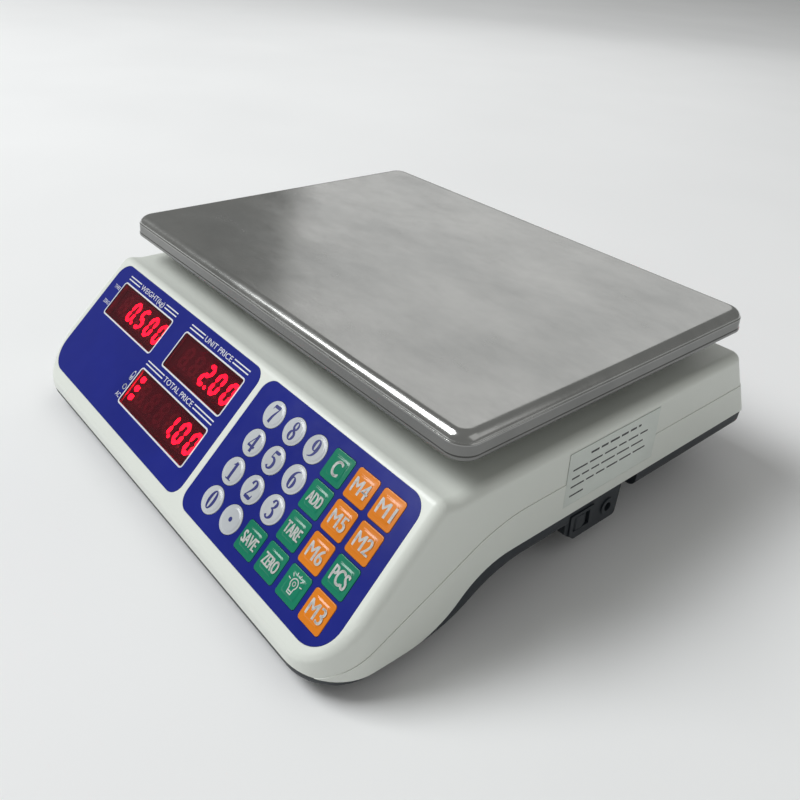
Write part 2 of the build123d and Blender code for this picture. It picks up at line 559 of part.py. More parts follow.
def key(name, x, y):
    cap = Pos(0, 0, KEY_RISE - KEY_CAP_T) * extrude(key_face(name), amount=KEY_CAP_T)
    cap = fillet(cap.faces().sort_by(Axis.Z)[-1].edges(), KEY_EDGE_R)
    dome_r = (ROUND_DOME_D if is_round(name) else DOME_D) / 2
    ball_r = (dome_r ** 2 + DOME_H ** 2) / (2 * DOME_H)
    dome = Pos(0, 0, KEY_RISE) * extrude(Circle(dome_r), amount=2 * DOME_H)
    cap += Part() + (dome & (Pos(0, 0, KEY_RISE + DOME_H - ball_r) * Sphere(ball_r)))
    stem_top = KEY_RISE - KEY_CAP_T
    stem_end = -BOARD_DEPTH + SWITCH_BODY_H + SWITCH_STEM_H + KEY_TRAVEL + PLUNGER_GAP
    cap += Pos(0, 0, (stem_top + stem_end) / 2) * Cylinder(PLUNGER_D / 2, stem_top - stem_end)
    return PANEL * Pos(x, y, 0) * cap


def key_switches():
    switches = []
    for name, x, y in key_spots():
        body = Pos(0, 0, SWITCH_BODY_H / 2) * Box(SWITCH_BODY_W, SWITCH_BODY_W, SWITCH_BODY_H)
        stem = Pos(0, 0, SWITCH_BODY_H + SWITCH_STEM_H / 2) * Cylinder(SWITCH_STEM_D / 2, SWITCH_STEM_H)
        switches.append(PANEL * Pos(x, y, -BOARD_DEPTH) * (body + stem))
    return Compound(switches)


def digit_module(plane, window):
    x, y, width, height, digits = window
    body = Pos(0, 0, MODULE_DEPTH / 2) * Box(digits * DIGIT_PITCH, MODULE_H, MODULE_DEPTH)
    body = chamfer(body.faces().sort_by(Axis.Z)[-1].edges(), MODULE_BEVEL)
    shift = (width - digits * DIGIT_PITCH) / 2 - MODULE_EDGE
    return plane * Pos(x + shift, y, -BOARD_DEPTH) * body


def status_leds():
    x, y, width, height, digits = TOTAL_WINDOW
    leds = []
    for step in (-1, 0, 1):
        lamp = Pos(0, 0, MODULE_DEPTH / 2) * Cylinder(STATUS_LED_D / 2, MODULE_DEPTH)
        lamp = fillet(lamp.faces().sort_by(Axis.Z)[-1].edges(), STATUS_LED_D / 2 - 0.1)
        spot = Pos(x - width / 2 + STATUS_LED_IN, y + step * STATUS_LED_PITCH, -BOARD_DEPTH)
        leds.append(PANEL * spot * lamp)
    return Compound(leds)


def board(plane, x0, x1, y0, y1, spots):
    outline = rounded_panel(x0, x1, y0, y1, [BOARD_CORNER_R] * 4)
    slab = on_plane(plane, 0, 0, -BOARD_DEPTH - BOARD_T, -BOARD_DEPTH, outline)
    for x, y in spots:
        slab -= on_plane(plane, x, y, -BOARD_DEPTH - BOARD_T - 1, -BOARD_DEPTH + 1, Circle(BOARD_HOLE_D / 2))
    return slab


# ---- electrics -------------------------------------------------------------------------------
def main_board():
    x0, x1, y0, y1 = MAIN_BOARD
    slab = block(x0, x1, y0, y1, MAIN_BOARD_Z, MAIN_BOARD_Z + BOARD_T)
    top = MAIN_BOARD_Z + BOARD_T
    for x, y, size_x, size_y, height in MAIN_BOARD_CHIPS:
        slab += block(x - size_x / 2, x + size_x / 2, y - size_y / 2, y + size_y / 2, top, top + height)
    return slab


def buzzer():
    top = MAIN_BOARD_Z + BOARD_T
    can = post(*BUZZER, top, top + BUZZER_H, BUZZER_D)
    can = fillet(can.faces().sort_by(Axis.Z)[-1].edges(), BUZZER_EDGE_R)
    return can - post(*BUZZER, top + BUZZER_H / 2, FAR, BUZZER_HOLE_D)


def transformer():
    x, y = TRANSFORMER
    z = BELLY_Z + WALL
    core = Pos(x, y, z + CORE[2] / 2) * Box(*CORE)
    bobbin = Pos(x, y, z + CORE[2] / 2) * Box(*BOBBIN)
    return core + fillet(bobbin.edges().filter_by(Axis.Z), BOBBIN_EDGE_R)


def battery():
    y0, y1 = BATTERY_Y
    top = BATTERY_Z + BATTERY_H
    case = block(-BATTERY_HALF, BATTERY_HALF, y0, y1, BATTERY_Z, top)
    case = chamfer(case.edges().filter_by(Axis.Z), BATTERY_BEVEL)
    tab_w, tab_t, tab_h = TERMINAL
    for x in (-TERMINAL_X, TERMINAL_X):
        case += Pos(x, y1 - TERMINAL_IN, top + tab_h / 2) * Box(tab_w, tab_t, tab_h)
    return case


def power_switch():
    slot_y, slot_z = SWITCH_SIZE
    half_y, half_z = slot_y / 2 - BEZEL_LIP - SWITCH_PLAY, slot_z / 2 - BEZEL_LIP - SWITCH_PLAY
    bezel = block(BOX_OUT_X, BOX_OUT_X + BEZEL_T, SWITCH_Y - slot_y / 2, SWITCH_Y + slot_y / 2,
                  SWITCH_Z - slot_z / 2, SWITCH_Z + slot_z / 2)
    body = block(BOX_OUT_X - SWITCH_BODY_D, BOX_OUT_X, SWITCH_Y - half_y, SWITCH_Y + half_y,
                 SWITCH_Z - half_z, SWITCH_Z + half_z)
    room_r, room_z = ROCKER_R + ROCKER_GAP, ROCKER_W / 2 + ROCKER_GAP
    drum = Pos(ROCKER_X, SWITCH_Y, SWITCH_Z) * Cylinder(room_r, 2 * room_z)
    front = block(ROCKER_X, FAR, SWITCH_Y - room_r, SWITCH_Y + room_r, SWITCH_Z - room_z, SWITCH_Z + room_z)
    return bezel + body - drum - front


def switch_rocker():
    drum = Cylinder(ROCKER_R, ROCKER_W)
    for tilt in (-ROCKER_BEND, ROCKER_BEND):
        beyond = Pos(ROCKER_R + ROCKER_FACE, 0, 0) * Box(2 * ROCKER_R, 8 * ROCKER_R, 2 * ROCKER_W)
        drum -= Rot(0, 0, tilt) * beyond
    return Pos(ROCKER_X, SWITCH_Y, SWITCH_Z) * Rot(0, 0, ROCKER_TILT) * drum


def power_inlet():
    place = Pos(BOX_OUT_X, INLET_Y, INLET_Z) * Rot(0, 90, 0)
    sleeve = post(0, 0, -SLEEVE_L, 0, INLET_D - SWITCH_PLAY)
    flange = post(0, 0, 0, BEZEL_T, INLET_D + 2 * INLET_LIP)
    bore = post(0, 0, -INLET_BORE_L, 1, INLET_BORE_D)
    pin = post(0, 0, -INLET_BORE_L - OVERLAP, PIN_L - INLET_BORE_L - 1, PIN_D)
    return place * (sleeve + flange - bore + pin)


def foot(x, y):
    knob_r = FOOT_D / 2 - FOOT_STEP
    grip = post(x, y, 0, FOOT_SOLE_H, FOOT_D) + post(x, y, FOOT_SOLE_H, FOOT_H, 2 * knob_r)
    for turn in range(FOOT_GRIPS):
        groove = Pos(x, y, 0) * Rot(0, 0, 360 / FOOT_GRIPS * turn) * Pos(knob_r, 0, 0)
        grip -= groove * post(0, 0, FOOT_SOLE_H, FAR, 2 * FOOT_GROOVE_R)
    grip = fillet(grip.faces().sort_by(Axis.Z)[0].edges(), FOOT_EDGE_R)
    return grip + post(x, y, FOOT_H - OVERLAP, WELL_TOP_Z + FOOT_THREAD_H, M6)


def rating_label():
    y, z, width, height = LABEL
    return Pos(HALF_WIDTH - LABEL_T / 2, y, z) * Box(LABEL_T, width, height)


# ---- write every node ----------------------------------------------------------------------------
write(upper_housing(), "upper_housing")
write(base_shell(), "base_shell")
write(weighing_tray(), "weighing_tray")
write(tray_support(), "tray_support")
write(tray_pads(), "tray_pads")
write(load_cell(), "load_cell")
write(cell_spacer(-1, BELLY_Z + WALL, SPACER_H), "lower_cell_spacer")
write(cell_spacer(1, CELL_Z + CELL[2] + CELL_GAP, TOP_SPACER_H), "upper_cell_spacer")
write(cell_top_screws(), "cell_top_screws")
write(base_screws(), "base_screws")
write(overload_stops(), "overload_stops")
write(overlay(PANEL, front_outline(DISPLAY_X), window_holes(PANEL, FRONT_WINDOWS)), "display_overlay")
key_holes = [on_plane(PANEL, x, y, -2, 2, key_face(name, KEY_GAP)) for name, x, y in key_spots()]
write(overlay(PANEL, front_outline(KEYPAD_X), key_holes), "keypad_overlay")
write(overlay(REAR, rear_outline(), window_holes(REAR, REAR_WINDOWS)), "rear_overlay")
for plane, windows, name in ((PANEL, FRONT_WINDOWS, "front_filter"), (REAR, REAR_WINDOWS, "rear_filter")):
    sheet = on_plane(plane, 0, 0, -OVERLAY_T - FILTER_T, -OVERLAY_T, filter_outline(windows))
    write(sheet, name)
write(digit_module(PANEL, WEIGHT_WINDOW), "weight_digits")
write(digit_module(PANEL, UNIT_WINDOW), "unit_price_digits")
write(digit_module(PANEL, TOTAL_WINDOW), "total_price_digits")
write(Compound([digit_module(REAR, window) for window in REAR_WINDOWS]), "rear_digits")
write(status_leds(), "status_leds")
write(board(PANEL, *DISPLAY_BOARD, DISPLAY_POSTS), "display_board")
write(board(PANEL, *KEYPAD_BOARD, KEYPAD_POSTS), "keypad_board")
write(board(REAR, *REAR_BOARD, REAR_POSTS), "rear_board")
write(key_switches(), "key_switches")
for name, x, y in key_spots():
    write(key(name, x, y), f"key_{name}")
write(main_board() + buzzer(), "main_board")
write(transformer(), "transformer")
write(battery(), "battery")
write(power_switch(), "power_switch")
write(switch_rocker(), "switch_rocker")
write(power_inlet(), "power_inlet")
for side, side_name in ((-1, "left"), (1, "right")):
    write(foot(side * FOOT_FRONT[0], FOOT_FRONT[1]), f"foot_front_{side_name}")
    write(foot(side * FOOT_REAR[0], FOOT_REAR[1]), f"foot_rear_{side_name}")
write(rating_label(), "rating_label")
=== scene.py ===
"""Retail price scale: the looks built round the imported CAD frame. Metres, in the frame's own axes."""
import json
import math
import random

import bmesh
import bpy
from mathutils import Euler, Matrix, Vector


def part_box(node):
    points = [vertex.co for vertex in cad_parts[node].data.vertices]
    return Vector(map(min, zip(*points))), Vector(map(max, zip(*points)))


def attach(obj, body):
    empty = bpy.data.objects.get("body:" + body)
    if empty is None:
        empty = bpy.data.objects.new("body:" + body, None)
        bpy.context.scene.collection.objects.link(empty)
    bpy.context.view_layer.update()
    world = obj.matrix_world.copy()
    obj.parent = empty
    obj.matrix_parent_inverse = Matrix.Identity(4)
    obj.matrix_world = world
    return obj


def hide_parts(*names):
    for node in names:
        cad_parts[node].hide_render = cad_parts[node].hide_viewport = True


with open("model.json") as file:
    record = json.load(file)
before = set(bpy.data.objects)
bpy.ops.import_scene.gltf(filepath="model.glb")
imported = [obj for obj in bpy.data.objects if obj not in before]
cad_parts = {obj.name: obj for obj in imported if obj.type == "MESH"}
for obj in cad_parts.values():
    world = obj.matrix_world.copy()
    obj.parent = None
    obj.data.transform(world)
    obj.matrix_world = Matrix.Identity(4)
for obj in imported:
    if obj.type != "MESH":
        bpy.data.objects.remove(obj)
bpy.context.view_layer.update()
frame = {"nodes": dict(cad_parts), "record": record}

MM = 0.001
PI = math.pi
nodes = frame["nodes"]

# ---------------------------------------------------------------- places read from the frame
FILM_T = 0.4 * MM                   # thickness of the printed films, as in the CAD
PITCH = 12.6 * MM                   # one digit of a display module


def centre(node):
    low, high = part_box(node)
    return (low + high) / 2


class Face:
    """A flat panel of the object. Points on it are given by distances across, up and above it."""

    def __init__(self, origin, across, up):
        self.origin, self.across, self.up = origin, across, up
        self.out = across.cross(up).normalized()

    def at(self, x, y, lift=0.0):
        return self.origin + self.across * x + self.up * y + self.out * lift

    def matrix(self, x, y, lift=0.0):
        turn = Matrix((self.across, self.up, self.out)).transposed().to_4x4()
        return Matrix.Translation(self.at(x, y, lift)) @ turn

    def local(self, point):
        away = point - self.origin
        return away.dot(self.across), away.dot(self.up), away.dot(self.out)


def front_face():
    """The sloping panel. Its origin is the centre of the top left key, at the film's surface."""
    steep = (centre("key_seven") - centre("key_nought")).normalized()
    film_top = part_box("display_overlay")[1]
    edge = Vector((0, film_top.y + FILM_T * -steep.z, film_top.z))
    start = centre("key_seven")
    origin = edge + steep * (start - edge).dot(steep)
    origin.x = start.x
    return Face(origin, Vector((1, 0, 0)), steep)


def rear_face():
    """The leaning back, seen from the customer's side. Its origin is the middle of the rear film."""
    low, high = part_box("rear_overlay")
    own_depth, own_height = 0.9 * FILM_T, 0.4 * FILM_T      # the film's thickness, as it adds to its box
    lean = math.atan2(high.y - low.y - own_depth, high.z - low.z - own_height)
    up = Vector((0, -math.sin(lean), math.cos(lean)))
    out = Vector((0, math.cos(lean), math.sin(lean)))
    middle = (low + high) / 2 + out * FILM_T / 2
    middle.x = 0
    return Face(middle, Vector((-1, 0, 0)), up)


def spread(face, name):
    """Lowest and highest place of a CAD node on a face, across, up and outwards."""
    piece = nodes[name]
    places = [face.local(piece.matrix_world @ vertex.co) for vertex in piece.data.vertices]
    return [(min(values), max(values)) for values in zip(*places)]


PANEL = front_face()
REAR = rear_face()


# ---------------------------------------------------------------- materials
def new_material(name):
    material = bpy.data.materials.new(name)
    material.use_nodes = True
    tree = material.node_tree
    shader = tree.nodes["Principled BSDF"]
    return material, tree, shader


def node(tree, kind, inputs=None, **settings):
    made = tree.nodes.new(kind)
    for key, value in settings.items():
        setattr(made, key, value)
    for key, value in (inputs or {}).items():
        made.inputs[key].default_value = value
    return made


def object_point(tree, stretch=(1, 1, 1)):
    """The point in the row frame, so that a pattern has its real size and stays put on every piece."""
    place = node(tree, "ShaderNodeTexCoord")
    scale = node(tree, "ShaderNodeMapping", {"Scale": stretch})
    tree.links.new(place.outputs["Object"], scale.inputs["Vector"])
    return scale.outputs["Vector"]


def noise(tree, point, scale, detail=3.0, roughness=0.5):
    made = node(tree, "ShaderNodeTexNoise", {"Scale": scale, "Detail": detail, "Roughness": roughness})
    tree.links.new(point, made.inputs["Vector"])
    return made.outputs["Fac"]


def ramp(tree, value, stops):
    made = node(tree, "ShaderNodeValToRGB")
    elements = made.color_ramp.elements
    while len(elements) < len(stops):
        elements.new(0.5)
    for element, (position, colour) in zip(elements, stops):
        element.position = position
        element.color = (*colour, 1)
    tree.links.new(value, made.inputs["Fac"])
    return made.outputs["Color"]


def grey(value):
    return (value, value, value)


def shade(colour, share, more=0.0):
    return tuple(min(1, c * share + more) for c in colour)


def bump(tree, shader, height, strength, distance):
    made = node(tree, "ShaderNodeBump", {"Strength": strength, "Distance": distance})
    tree.links.new(height, made.inputs["Height"])
    tree.links.new(made.outputs["Normal"], shader.inputs["Normal"])


def moulded_plastic(name, colour, rough, tint=0.04, grain=0.12, grain_scale=1400, coat=0.0,
                    grain_depth=0.03 * MM):
    """Injection moulded plastic: slow colour drift, fine grain and a roughness that varies with handling."""
    material, tree, shader = new_material(name)
    point = object_point(tree)
    drift = ramp(tree, noise(tree, point, 9, 4, 0.6),
                 [(0.3, shade(colour, 1 - tint)), (0.7, shade(colour, 1 + tint))])
    tree.links.new(drift, shader.inputs["Base Color"])
    handling = ramp(tree, noise(tree, point, 45, 5, 0.65),
                    [(0.25, grey(rough * 0.85)), (0.75, grey(rough * 1.18))])
    tree.links.new(handling, shader.inputs["Roughness"])
    bump(tree, shader, noise(tree, point, grain_scale, 2, 0.5), grain, grain_depth)
    shader.inputs["Coat Weight"].default_value = coat
    shader.inputs["Coat Roughness"].default_value = 0.12
    return material


def printed_film(name, colour, rough=0.22, specular=0.42):
    """Reverse-printed polyester film: an even ink under a smooth face with faint waviness."""
    material, tree, shader = new_material(name)
    point = object_point(tree)
    cloud = ramp(tree, noise(tree, point, 22, 3, 0.5),
                 [(0.3, shade(colour, 0.92)), (0.7, shade(colour, 1.10, 0.002))])
    tree.links.new(cloud, shader.inputs["Base Color"])
    rub = ramp(tree, noise(tree, point, 70, 6, 0.7), [(0.3, grey(rough * 0.8)), (0.8, grey(rough * 1.3))])
    tree.links.new(rub, shader.inputs["Roughness"])
    bump(tree, shader, noise(tree, point, 260, 2, 0.5), 0.10, 0.04 * MM)
    shader.inputs["Specular IOR Level"].default_value = specular
    return material


def printed_ink(name, colour):
    """Screen-printed ink, which covers a little unevenly."""
    material, tree, shader = new_material(name)
    cover = noise(tree, object_point(tree), 900, 2, 0.5)
    tree.links.new(ramp(tree, cover, [(0.35, shade(colour, 0.9)), (0.65, shade(colour, 1.04))]),
                   shader.inputs["Base Color"])
    shader.inputs["Roughness"].default_value = 0.35
    return material


SKIRT_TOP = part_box("weighing_tray")[1].z - 4.4 * MM     # foot of the tray's rolled shoulder; below it the steel has painted shade


def polished_steel(name):
    """Stainless sheet with wiping smears, fine scratches and slow dents. The skirt below the shoulder has
    painted shade: its colour is darkened.
    """
    material, tree, shader = new_material(name)
    point = object_point(tree)
    shader.inputs["Metallic"].default_value = 1.0
    smear = noise(tree, object_point(tree, (1, 1.6, 1)), 11, 6, 0.62)
    sheet = ramp(tree, smear, [(0.30, (0.38, 0.385, 0.375)), (0.72, (0.51, 0.51, 0.495))])
    height_of = node(tree, "ShaderNodeSeparateXYZ")
    tree.links.new(point, height_of.inputs[0])
    # painted shade: below the shoulder the sheet's colour falls to 0.42 of itself, over 1.2 mm
    skirt_shade_ramp = node(tree, "ShaderNodeMapRange",
                 {"From Min": SKIRT_TOP - 1.2 * MM, "From Max": SKIRT_TOP, "To Min": 0.42})
    tree.links.new(height_of.outputs["Z"], skirt_shade_ramp.inputs["Value"])
    painted_skirt_shade = node(tree, "ShaderNodeVectorMath", operation="SCALE")
    tree.links.new(sheet, painted_skirt_shade.inputs[0])
    tree.links.new(skirt_shade_ramp.outputs["Result"], painted_skirt_shade.inputs["Scale"])
    tree.links.new(painted_skirt_shade.outputs["Vector"], shader.inputs["Base Color"])
    wipe = noise(tree, object_point(tree, (1, 2.2, 1)), 16, 7, 0.68)
    fine = noise(tree, object_point(tree, (1, 9, 1)), 420, 3, 0.6)
    mixed = node(tree, "ShaderNodeMath", operation="MULTIPLY_ADD")
    mixed.inputs[1].default_value = 0.25
    tree.links.new(fine, mixed.inputs[0])
    tree.links.new(wipe, mixed.inputs[2])
    smears = ramp(tree, mixed.outputs[0], [(0.38, grey(0.09)), (0.85, grey(0.30))])
    tree.links.new(smears, shader.inputs["Roughness"])
    scratch = node(tree, "ShaderNodeTexVoronoi", {"Scale": 55.0, "Randomness": 1.0},
                   feature="DISTANCE_TO_EDGE")
    tree.links.new(object_point(tree, (1, 7, 1)), scratch.inputs["Vector"])
    thin = ramp(tree, scratch.outputs["Distance"], [(0.0, grey(0.0)), (0.012, grey(1.0))])
    slow = noise(tree, point, 14, 2, 0.4)
    height = node(tree, "ShaderNodeMath", operation="MULTIPLY_ADD")
    height.inputs[1].default_value = 0.05
    tree.links.new(thin, height.inputs[0])
    tree.links.new(slow, height.inputs[2])
    bump(tree, shader, height.outputs[0], 0.16, 0.6 * MM)
    return material


def plated_steel(name, colour, rough):
    """Plated or cast metal, patchy in colour and in polish."""
    material, tree, shader = new_material(name)
    point = object_point(tree)
    shader.inputs["Metallic"].default_value = 1.0
    patch = noise(tree, point, 160, 4, 0.6)
    tree.links.new(ramp(tree, patch, [(0.3, shade(colour, 0.8)), (0.7, colour)]), shader.inputs["Base Color"])
    polish = ramp(tree, patch, [(0.3, grey(rough * 1.3)), (0.7, grey(rough * 0.8))])
    tree.links.new(polish, shader.inputs["Roughness"])
    bump(tree, shader, noise(tree, point, 1500, 2, 0.5), 0.15, 0.04 * MM)
    return material


def rubber(name):
    return moulded_plastic(name, (0.018, 0.018, 0.019), 0.72, tint=0.12, grain=0.35, grain_scale=2200,
                           grain_depth=0.05 * MM)


def tinted_window(name):
    """Dark red acrylic that shows what lies behind it."""
    material, tree, shader = new_material(name)
    point = object_point(tree)
    cloud = ramp(tree, noise(tree, point, 40, 2, 0.5), [(0.3, (0.52, 0.10, 0.14)), (0.7, (0.60, 0.13, 0.17))])
    tree.links.new(cloud, shader.inputs["Base Color"])
    shader.inputs["Transmission Weight"].default_value = 0.93
    shader.inputs["Roughness"].default_value = 0.10
    shader.inputs["IOR"].default_value = 1.15
    return material


def lit(name, colour, strength):
    """A glowing lamp or digit segment."""
    material, tree, shader = new_material(name)
    glow = noise(tree, object_point(tree), 700, 2, 0.5)
    tree.links.new(ramp(tree, glow, [(0.3, shade(colour, 0.8)), (0.6, colour)]),
                   shader.inputs["Emission Color"])
    shader.inputs["Base Color"].default_value = (*colour, 1)
    shader.inputs["Emission Strength"].default_value = strength
    shader.inputs["Roughness"].default_value = 0.4
    return material


MAT = {
    "white_abs": moulded_plastic("white_abs", (0.73, 0.755, 0.70), 0.36, tint=0.016, grain=0.10,
                                 grain_scale=1500, coat=0.06),
    "black_abs": moulded_plastic("black_abs", (0.016, 0.021, 0.027), 0.50, tint=0.10, grain=0.40,
                                 grain_scale=1900, grain_depth=0.06 * MM),
    "stainless": polished_steel("stainless"),
    "cast_aluminium": plated_steel("cast_aluminium", (0.55, 0.56, 0.57), 0.42),
    "rubber": rubber("rubber"),
    "zinc_steel": plated_steel("zinc_steel", (0.62, 0.62, 0.57), 0.30),
    "blue_print": printed_film("blue_print", (0.008, 0.015, 0.205), 0.22, 0.24),
    "red_filter": tinted_window("red_filter"),
    "digit_black": moulded_plastic("digit_black", (0.030, 0.022, 0.024), 0.6, tint=0.1),
    "led_red": lit("led_red", (1.0, 0.015, 0.06), 12.0),
    "circuit_board": moulded_plastic("circuit_board", (0.012, 0.12, 0.045), 0.35, tint=0.15, grain=0.5,
                                     grain_scale=900),
    "switch_black": moulded_plastic("switch_black", (0.02, 0.02, 0.021), 0.45),
    "winding_steel": plated_steel("winding_steel", (0.30, 0.24, 0.16), 0.5),
    "battery_case": moulded_plastic("battery_case", (0.06, 0.062, 0.066), 0.5),
    "label_paper": printed_film("label_paper", (0.66, 0.70, 0.655), 0.38),
    "foot_rubber": rubber("foot_rubber"),
    "key_grey": printed_film("key_grey", (0.50, 0.52, 0.54), 0.2),
    "key_green": printed_film("key_green", (0.003, 0.19, 0.105), 0.18),
    "key_orange": printed_film("key_orange", (0.70, 0.20, 0.008), 0.18),
}
INK = {
    "white": printed_ink("ink_white", (0.72, 0.73, 0.75)),
    "pale": printed_ink("ink_pale", (0.58, 0.58, 0.56)),
    "navy": printed_ink("ink_navy", (0.010, 0.016, 0.17)),
    "black": printed_ink("ink_black", (0.02, 0.02, 0.022)),
}
SEGMENT_LIT = lit("segment_lit", (1.0, 0.012, 0.05), 11.0)
SEGMENT_OFF = moulded_plastic("segment_off", (0.16, 0.09, 0.10), 0.5)

for part in frame["record"]["subparts"]:
    piece = nodes[part["node"]]
    piece.data.materials.clear()
    piece.data.materials.append(MAT[part["material_slot"]])


# ---------------------------------------------------------------- smooth shading of the CAD nodes
SHARP_ANGLE = math.radians(24)
FLAT_WEIGHT = 80                    # how far large faces pull the shading towards their own normal


def smoothing_group():
    """Shades smooth, but keeps every edge sharper than SHARP_ANGLE crisp."""
    group = bpy.data.node_groups.new("smooth_by_angle", "GeometryNodeTree")
    group.interface.new_socket("Geometry", in_out="INPUT", socket_type="NodeSocketGeometry")
    group.interface.new_socket("Geometry", in_out="OUTPUT", socket_type="NodeSocketGeometry")
    start, end = group.nodes.new("NodeGroupInput"), group.nodes.new("NodeGroupOutput")
    angle = group.nodes.new("GeometryNodeInputMeshEdgeAngle")
    limit = group.nodes.new("FunctionNodeCompare")
    limit.operation = "LESS_THAN"
    limit.inputs[1].default_value = SHARP_ANGLE
    faces, edges = (group.nodes.new("GeometryNodeSetShadeSmooth") for turn in range(2))
    faces.domain, edges.domain = "FACE", "EDGE"
    link = group.links.new
    link(angle.outputs["Unsigned Angle"], limit.inputs[0])
    link(start.outputs[0], faces.inputs["Geometry"])
    link(faces.outputs[0], edges.inputs["Geometry"])
    link(limit.outputs[0], edges.inputs["Shade Smooth"])
    link(edges.outputs[0], end.inputs[0])
    return group


SMOOTH = smoothing_group()


def soften(piece):
    """Joins the mesh's split edges and shades its curved faces smooth, without moving anything."""
    weld = piece.modifiers.new("weld", "WELD")
    weld.merge_threshold = 0.002 * MM
    smooth = piece.modifiers.new("smooth_by_angle", "NODES")
    smooth.node_group = SMOOTH
    flat = piece.modifiers.new("flat_faces_stay_flat", "WEIGHTED_NORMAL")
    flat.keep_sharp = True
    flat.weight = FLAT_WEIGHT


for piece in nodes.values():
    soften(piece)


# ---------------------------------------------------------------- mesh helpers
def add_piece(name, mesh, material, body, smooth=True):
    piece = bpy.data.objects.new(name, mesh)
    bpy.context.scene.collection.objects.link(piece)
    mesh.materials.clear()
    mesh.materials.append(material)
    for polygon in mesh.polygons:
        polygon.use_smooth = smooth
    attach(piece, body)
    return piece


def add_print(name, mesh, material, body="scale_body"):
    """A flat mark or segment, shaded flat."""
    return add_piece(name, mesh, material, body, smooth=False)


def rounded_loop(width, depth, radius, steps=12):
    """Points round a rectangle with rounded corners, centred on the origin, anticlockwise."""
    points = []
    for turn in range(4):
        sx, sy = ((1, -1), (1, 1), (-1, 1), (-1, -1))[turn]
        cx, cy = sx * (width / 2 - radius), sy * (depth / 2 - radius)
        for i in range(steps + 1):
            angle = (turn - 1) * PI / 2 + i * PI / 2 / steps
            points.append((cx + radius * math.cos(angle), cy + radius * math.sin(angle)))
    return points


def round_loop(radius, steps=56):
    turns = [2 * PI * i / steps for i in range(steps)]
    return [(radius * math.cos(turn), radius * math.sin(turn)) for turn in turns]


def stack_loops(loops, cap_first=True, cap_last=True):
    """Skin over loops of equal length: each loop is a list of 3-D points."""
    build = bmesh.new()
    rings = [[build.verts.new(p) for p in loop] for loop in loops]
    count = len(rings[0])
    for lower, upper in zip(rings, rings[1:]):
        for i in range(count):
            j = (i + 1) % count
            build.faces.new((lower[i], lower[j], upper[j], upper[i]))
    if cap_first:
        build.faces.new(list(reversed(rings[0])))
    if cap_last:
        build.faces.new(rings[-1])
    mesh = bpy.data.meshes.new("stack")
    build.normal_update()
    build.to_mesh(mesh)
    build.free()
    return mesh


def join_meshes(name, parts):
    """One mesh from (mesh, matrix) parts."""
    build = bmesh.new()
    for mesh, matrix in parts:
        copy = mesh.copy()
        copy.transform(matrix)
        build.from_mesh(copy)
        bpy.data.meshes.remove(copy)
    whole = bpy.data.meshes.new(name)
    build.to_mesh(whole)
    build.free()
    return whole


def moved(x, y):
    return Matrix.Translation((x, y, 0))


# ---------------------------------------------------------------- lettering and printed marks
INK_T = 0.03 * MM                   # thickness of the printed marks
CAP_SHARE = 0.729                   # height of the built-in font's capitals, as a share of its size


def text_mesh(text, height, width, bold=0.0):
    """Flat lettering about the origin, with the height of its capitals and its whole width given."""
    curve = bpy.data.curves.new("lettering", "FONT")
    curve.body = text
    curve.size = 1.0
    curve.offset = bold
    curve.resolution_u = 6
    curve.extrude = 0.5
    holder = bpy.data.objects.new("lettering", curve)
    bpy.context.scene.collection.objects.link(holder)
    bpy.context.view_layer.update()
    mesh = bpy.data.meshes.new_from_object(holder)
    bpy.data.objects.remove(holder)
    bpy.data.curves.remove(curve)
    xs = [v.co.x for v in mesh.vertices]
    middle_x, wide = (min(xs) + max(xs)) / 2, max(xs) - min(xs)
    grow_y = height / (CAP_SHARE + 2 * bold)
    grow_x = width / wide
    for v in mesh.vertices:
        v.co.x = (v.co.x - middle_x) * grow_x
        v.co.y = (v.co.y - CAP_SHARE / 2) * grow_y
        v.co.z = (v.co.z + 0.5) * INK_T
    return mesh


def prism(outline, thick):
    return stack_loops([[(x, y, 0) for x, y in outline], [(x, y, thick) for x, y in outline]])


def bar_mesh(width, height, radius=0.0, thick=INK_T):
    if radius:
        return prism(rounded_loop(width, height, radius, 4), thick)
    x, y = width / 2, height / 2
    return prism([(x, -y), (x, y), (-x, y), (-x, -y)], thick)


def frame_mesh(width, height, radius, line):
    """A printed rounded frame line round a window."""
    outer = rounded_loop(width + 2 * line, height + 2 * line, radius + line, 6)
    inner = rounded_loop(width, height, radius, 6)
    build = bmesh.new()
    rows = []
    for loop, z in ((outer, 0), (outer, INK_T), (inner, INK_T), (inner, 0)):
        rows.append([build.verts.new((x, y, z)) for x, y in loop])
    count = len(outer)
    for k in range(4):
        a, b = rows[k], rows[(k + 1) % 4]
        for i in range(count):
            j = (i + 1) % count
            build.faces.new((a[i], a[j], b[j], b[i]))
    mesh = bpy.data.meshes.new("frame_line")
    build.normal_update()
    build.to_mesh(mesh)
    build.free()
    return mesh


# ---------------------------------------------------------------- seven-segment digits
DIGIT_H, DIGIT_W, STROKE = 14.8 * MM, 8.2 * MM, 2.6 * MM
SEGMENT_GAP, SEGMENT_T = 0.18 * MM, 0.12 * MM
LEAN = math.tan(math.radians(9))
SEGMENTS = {"0": "abcdef", "1": "bc", "2": "abged", "3": "abgcd", "4": "fgbc", "5": "afgcd", "6": "afgedc",
            "7": "abc", "8": "abcdefg", "9": "abcdfg", " ": ""}


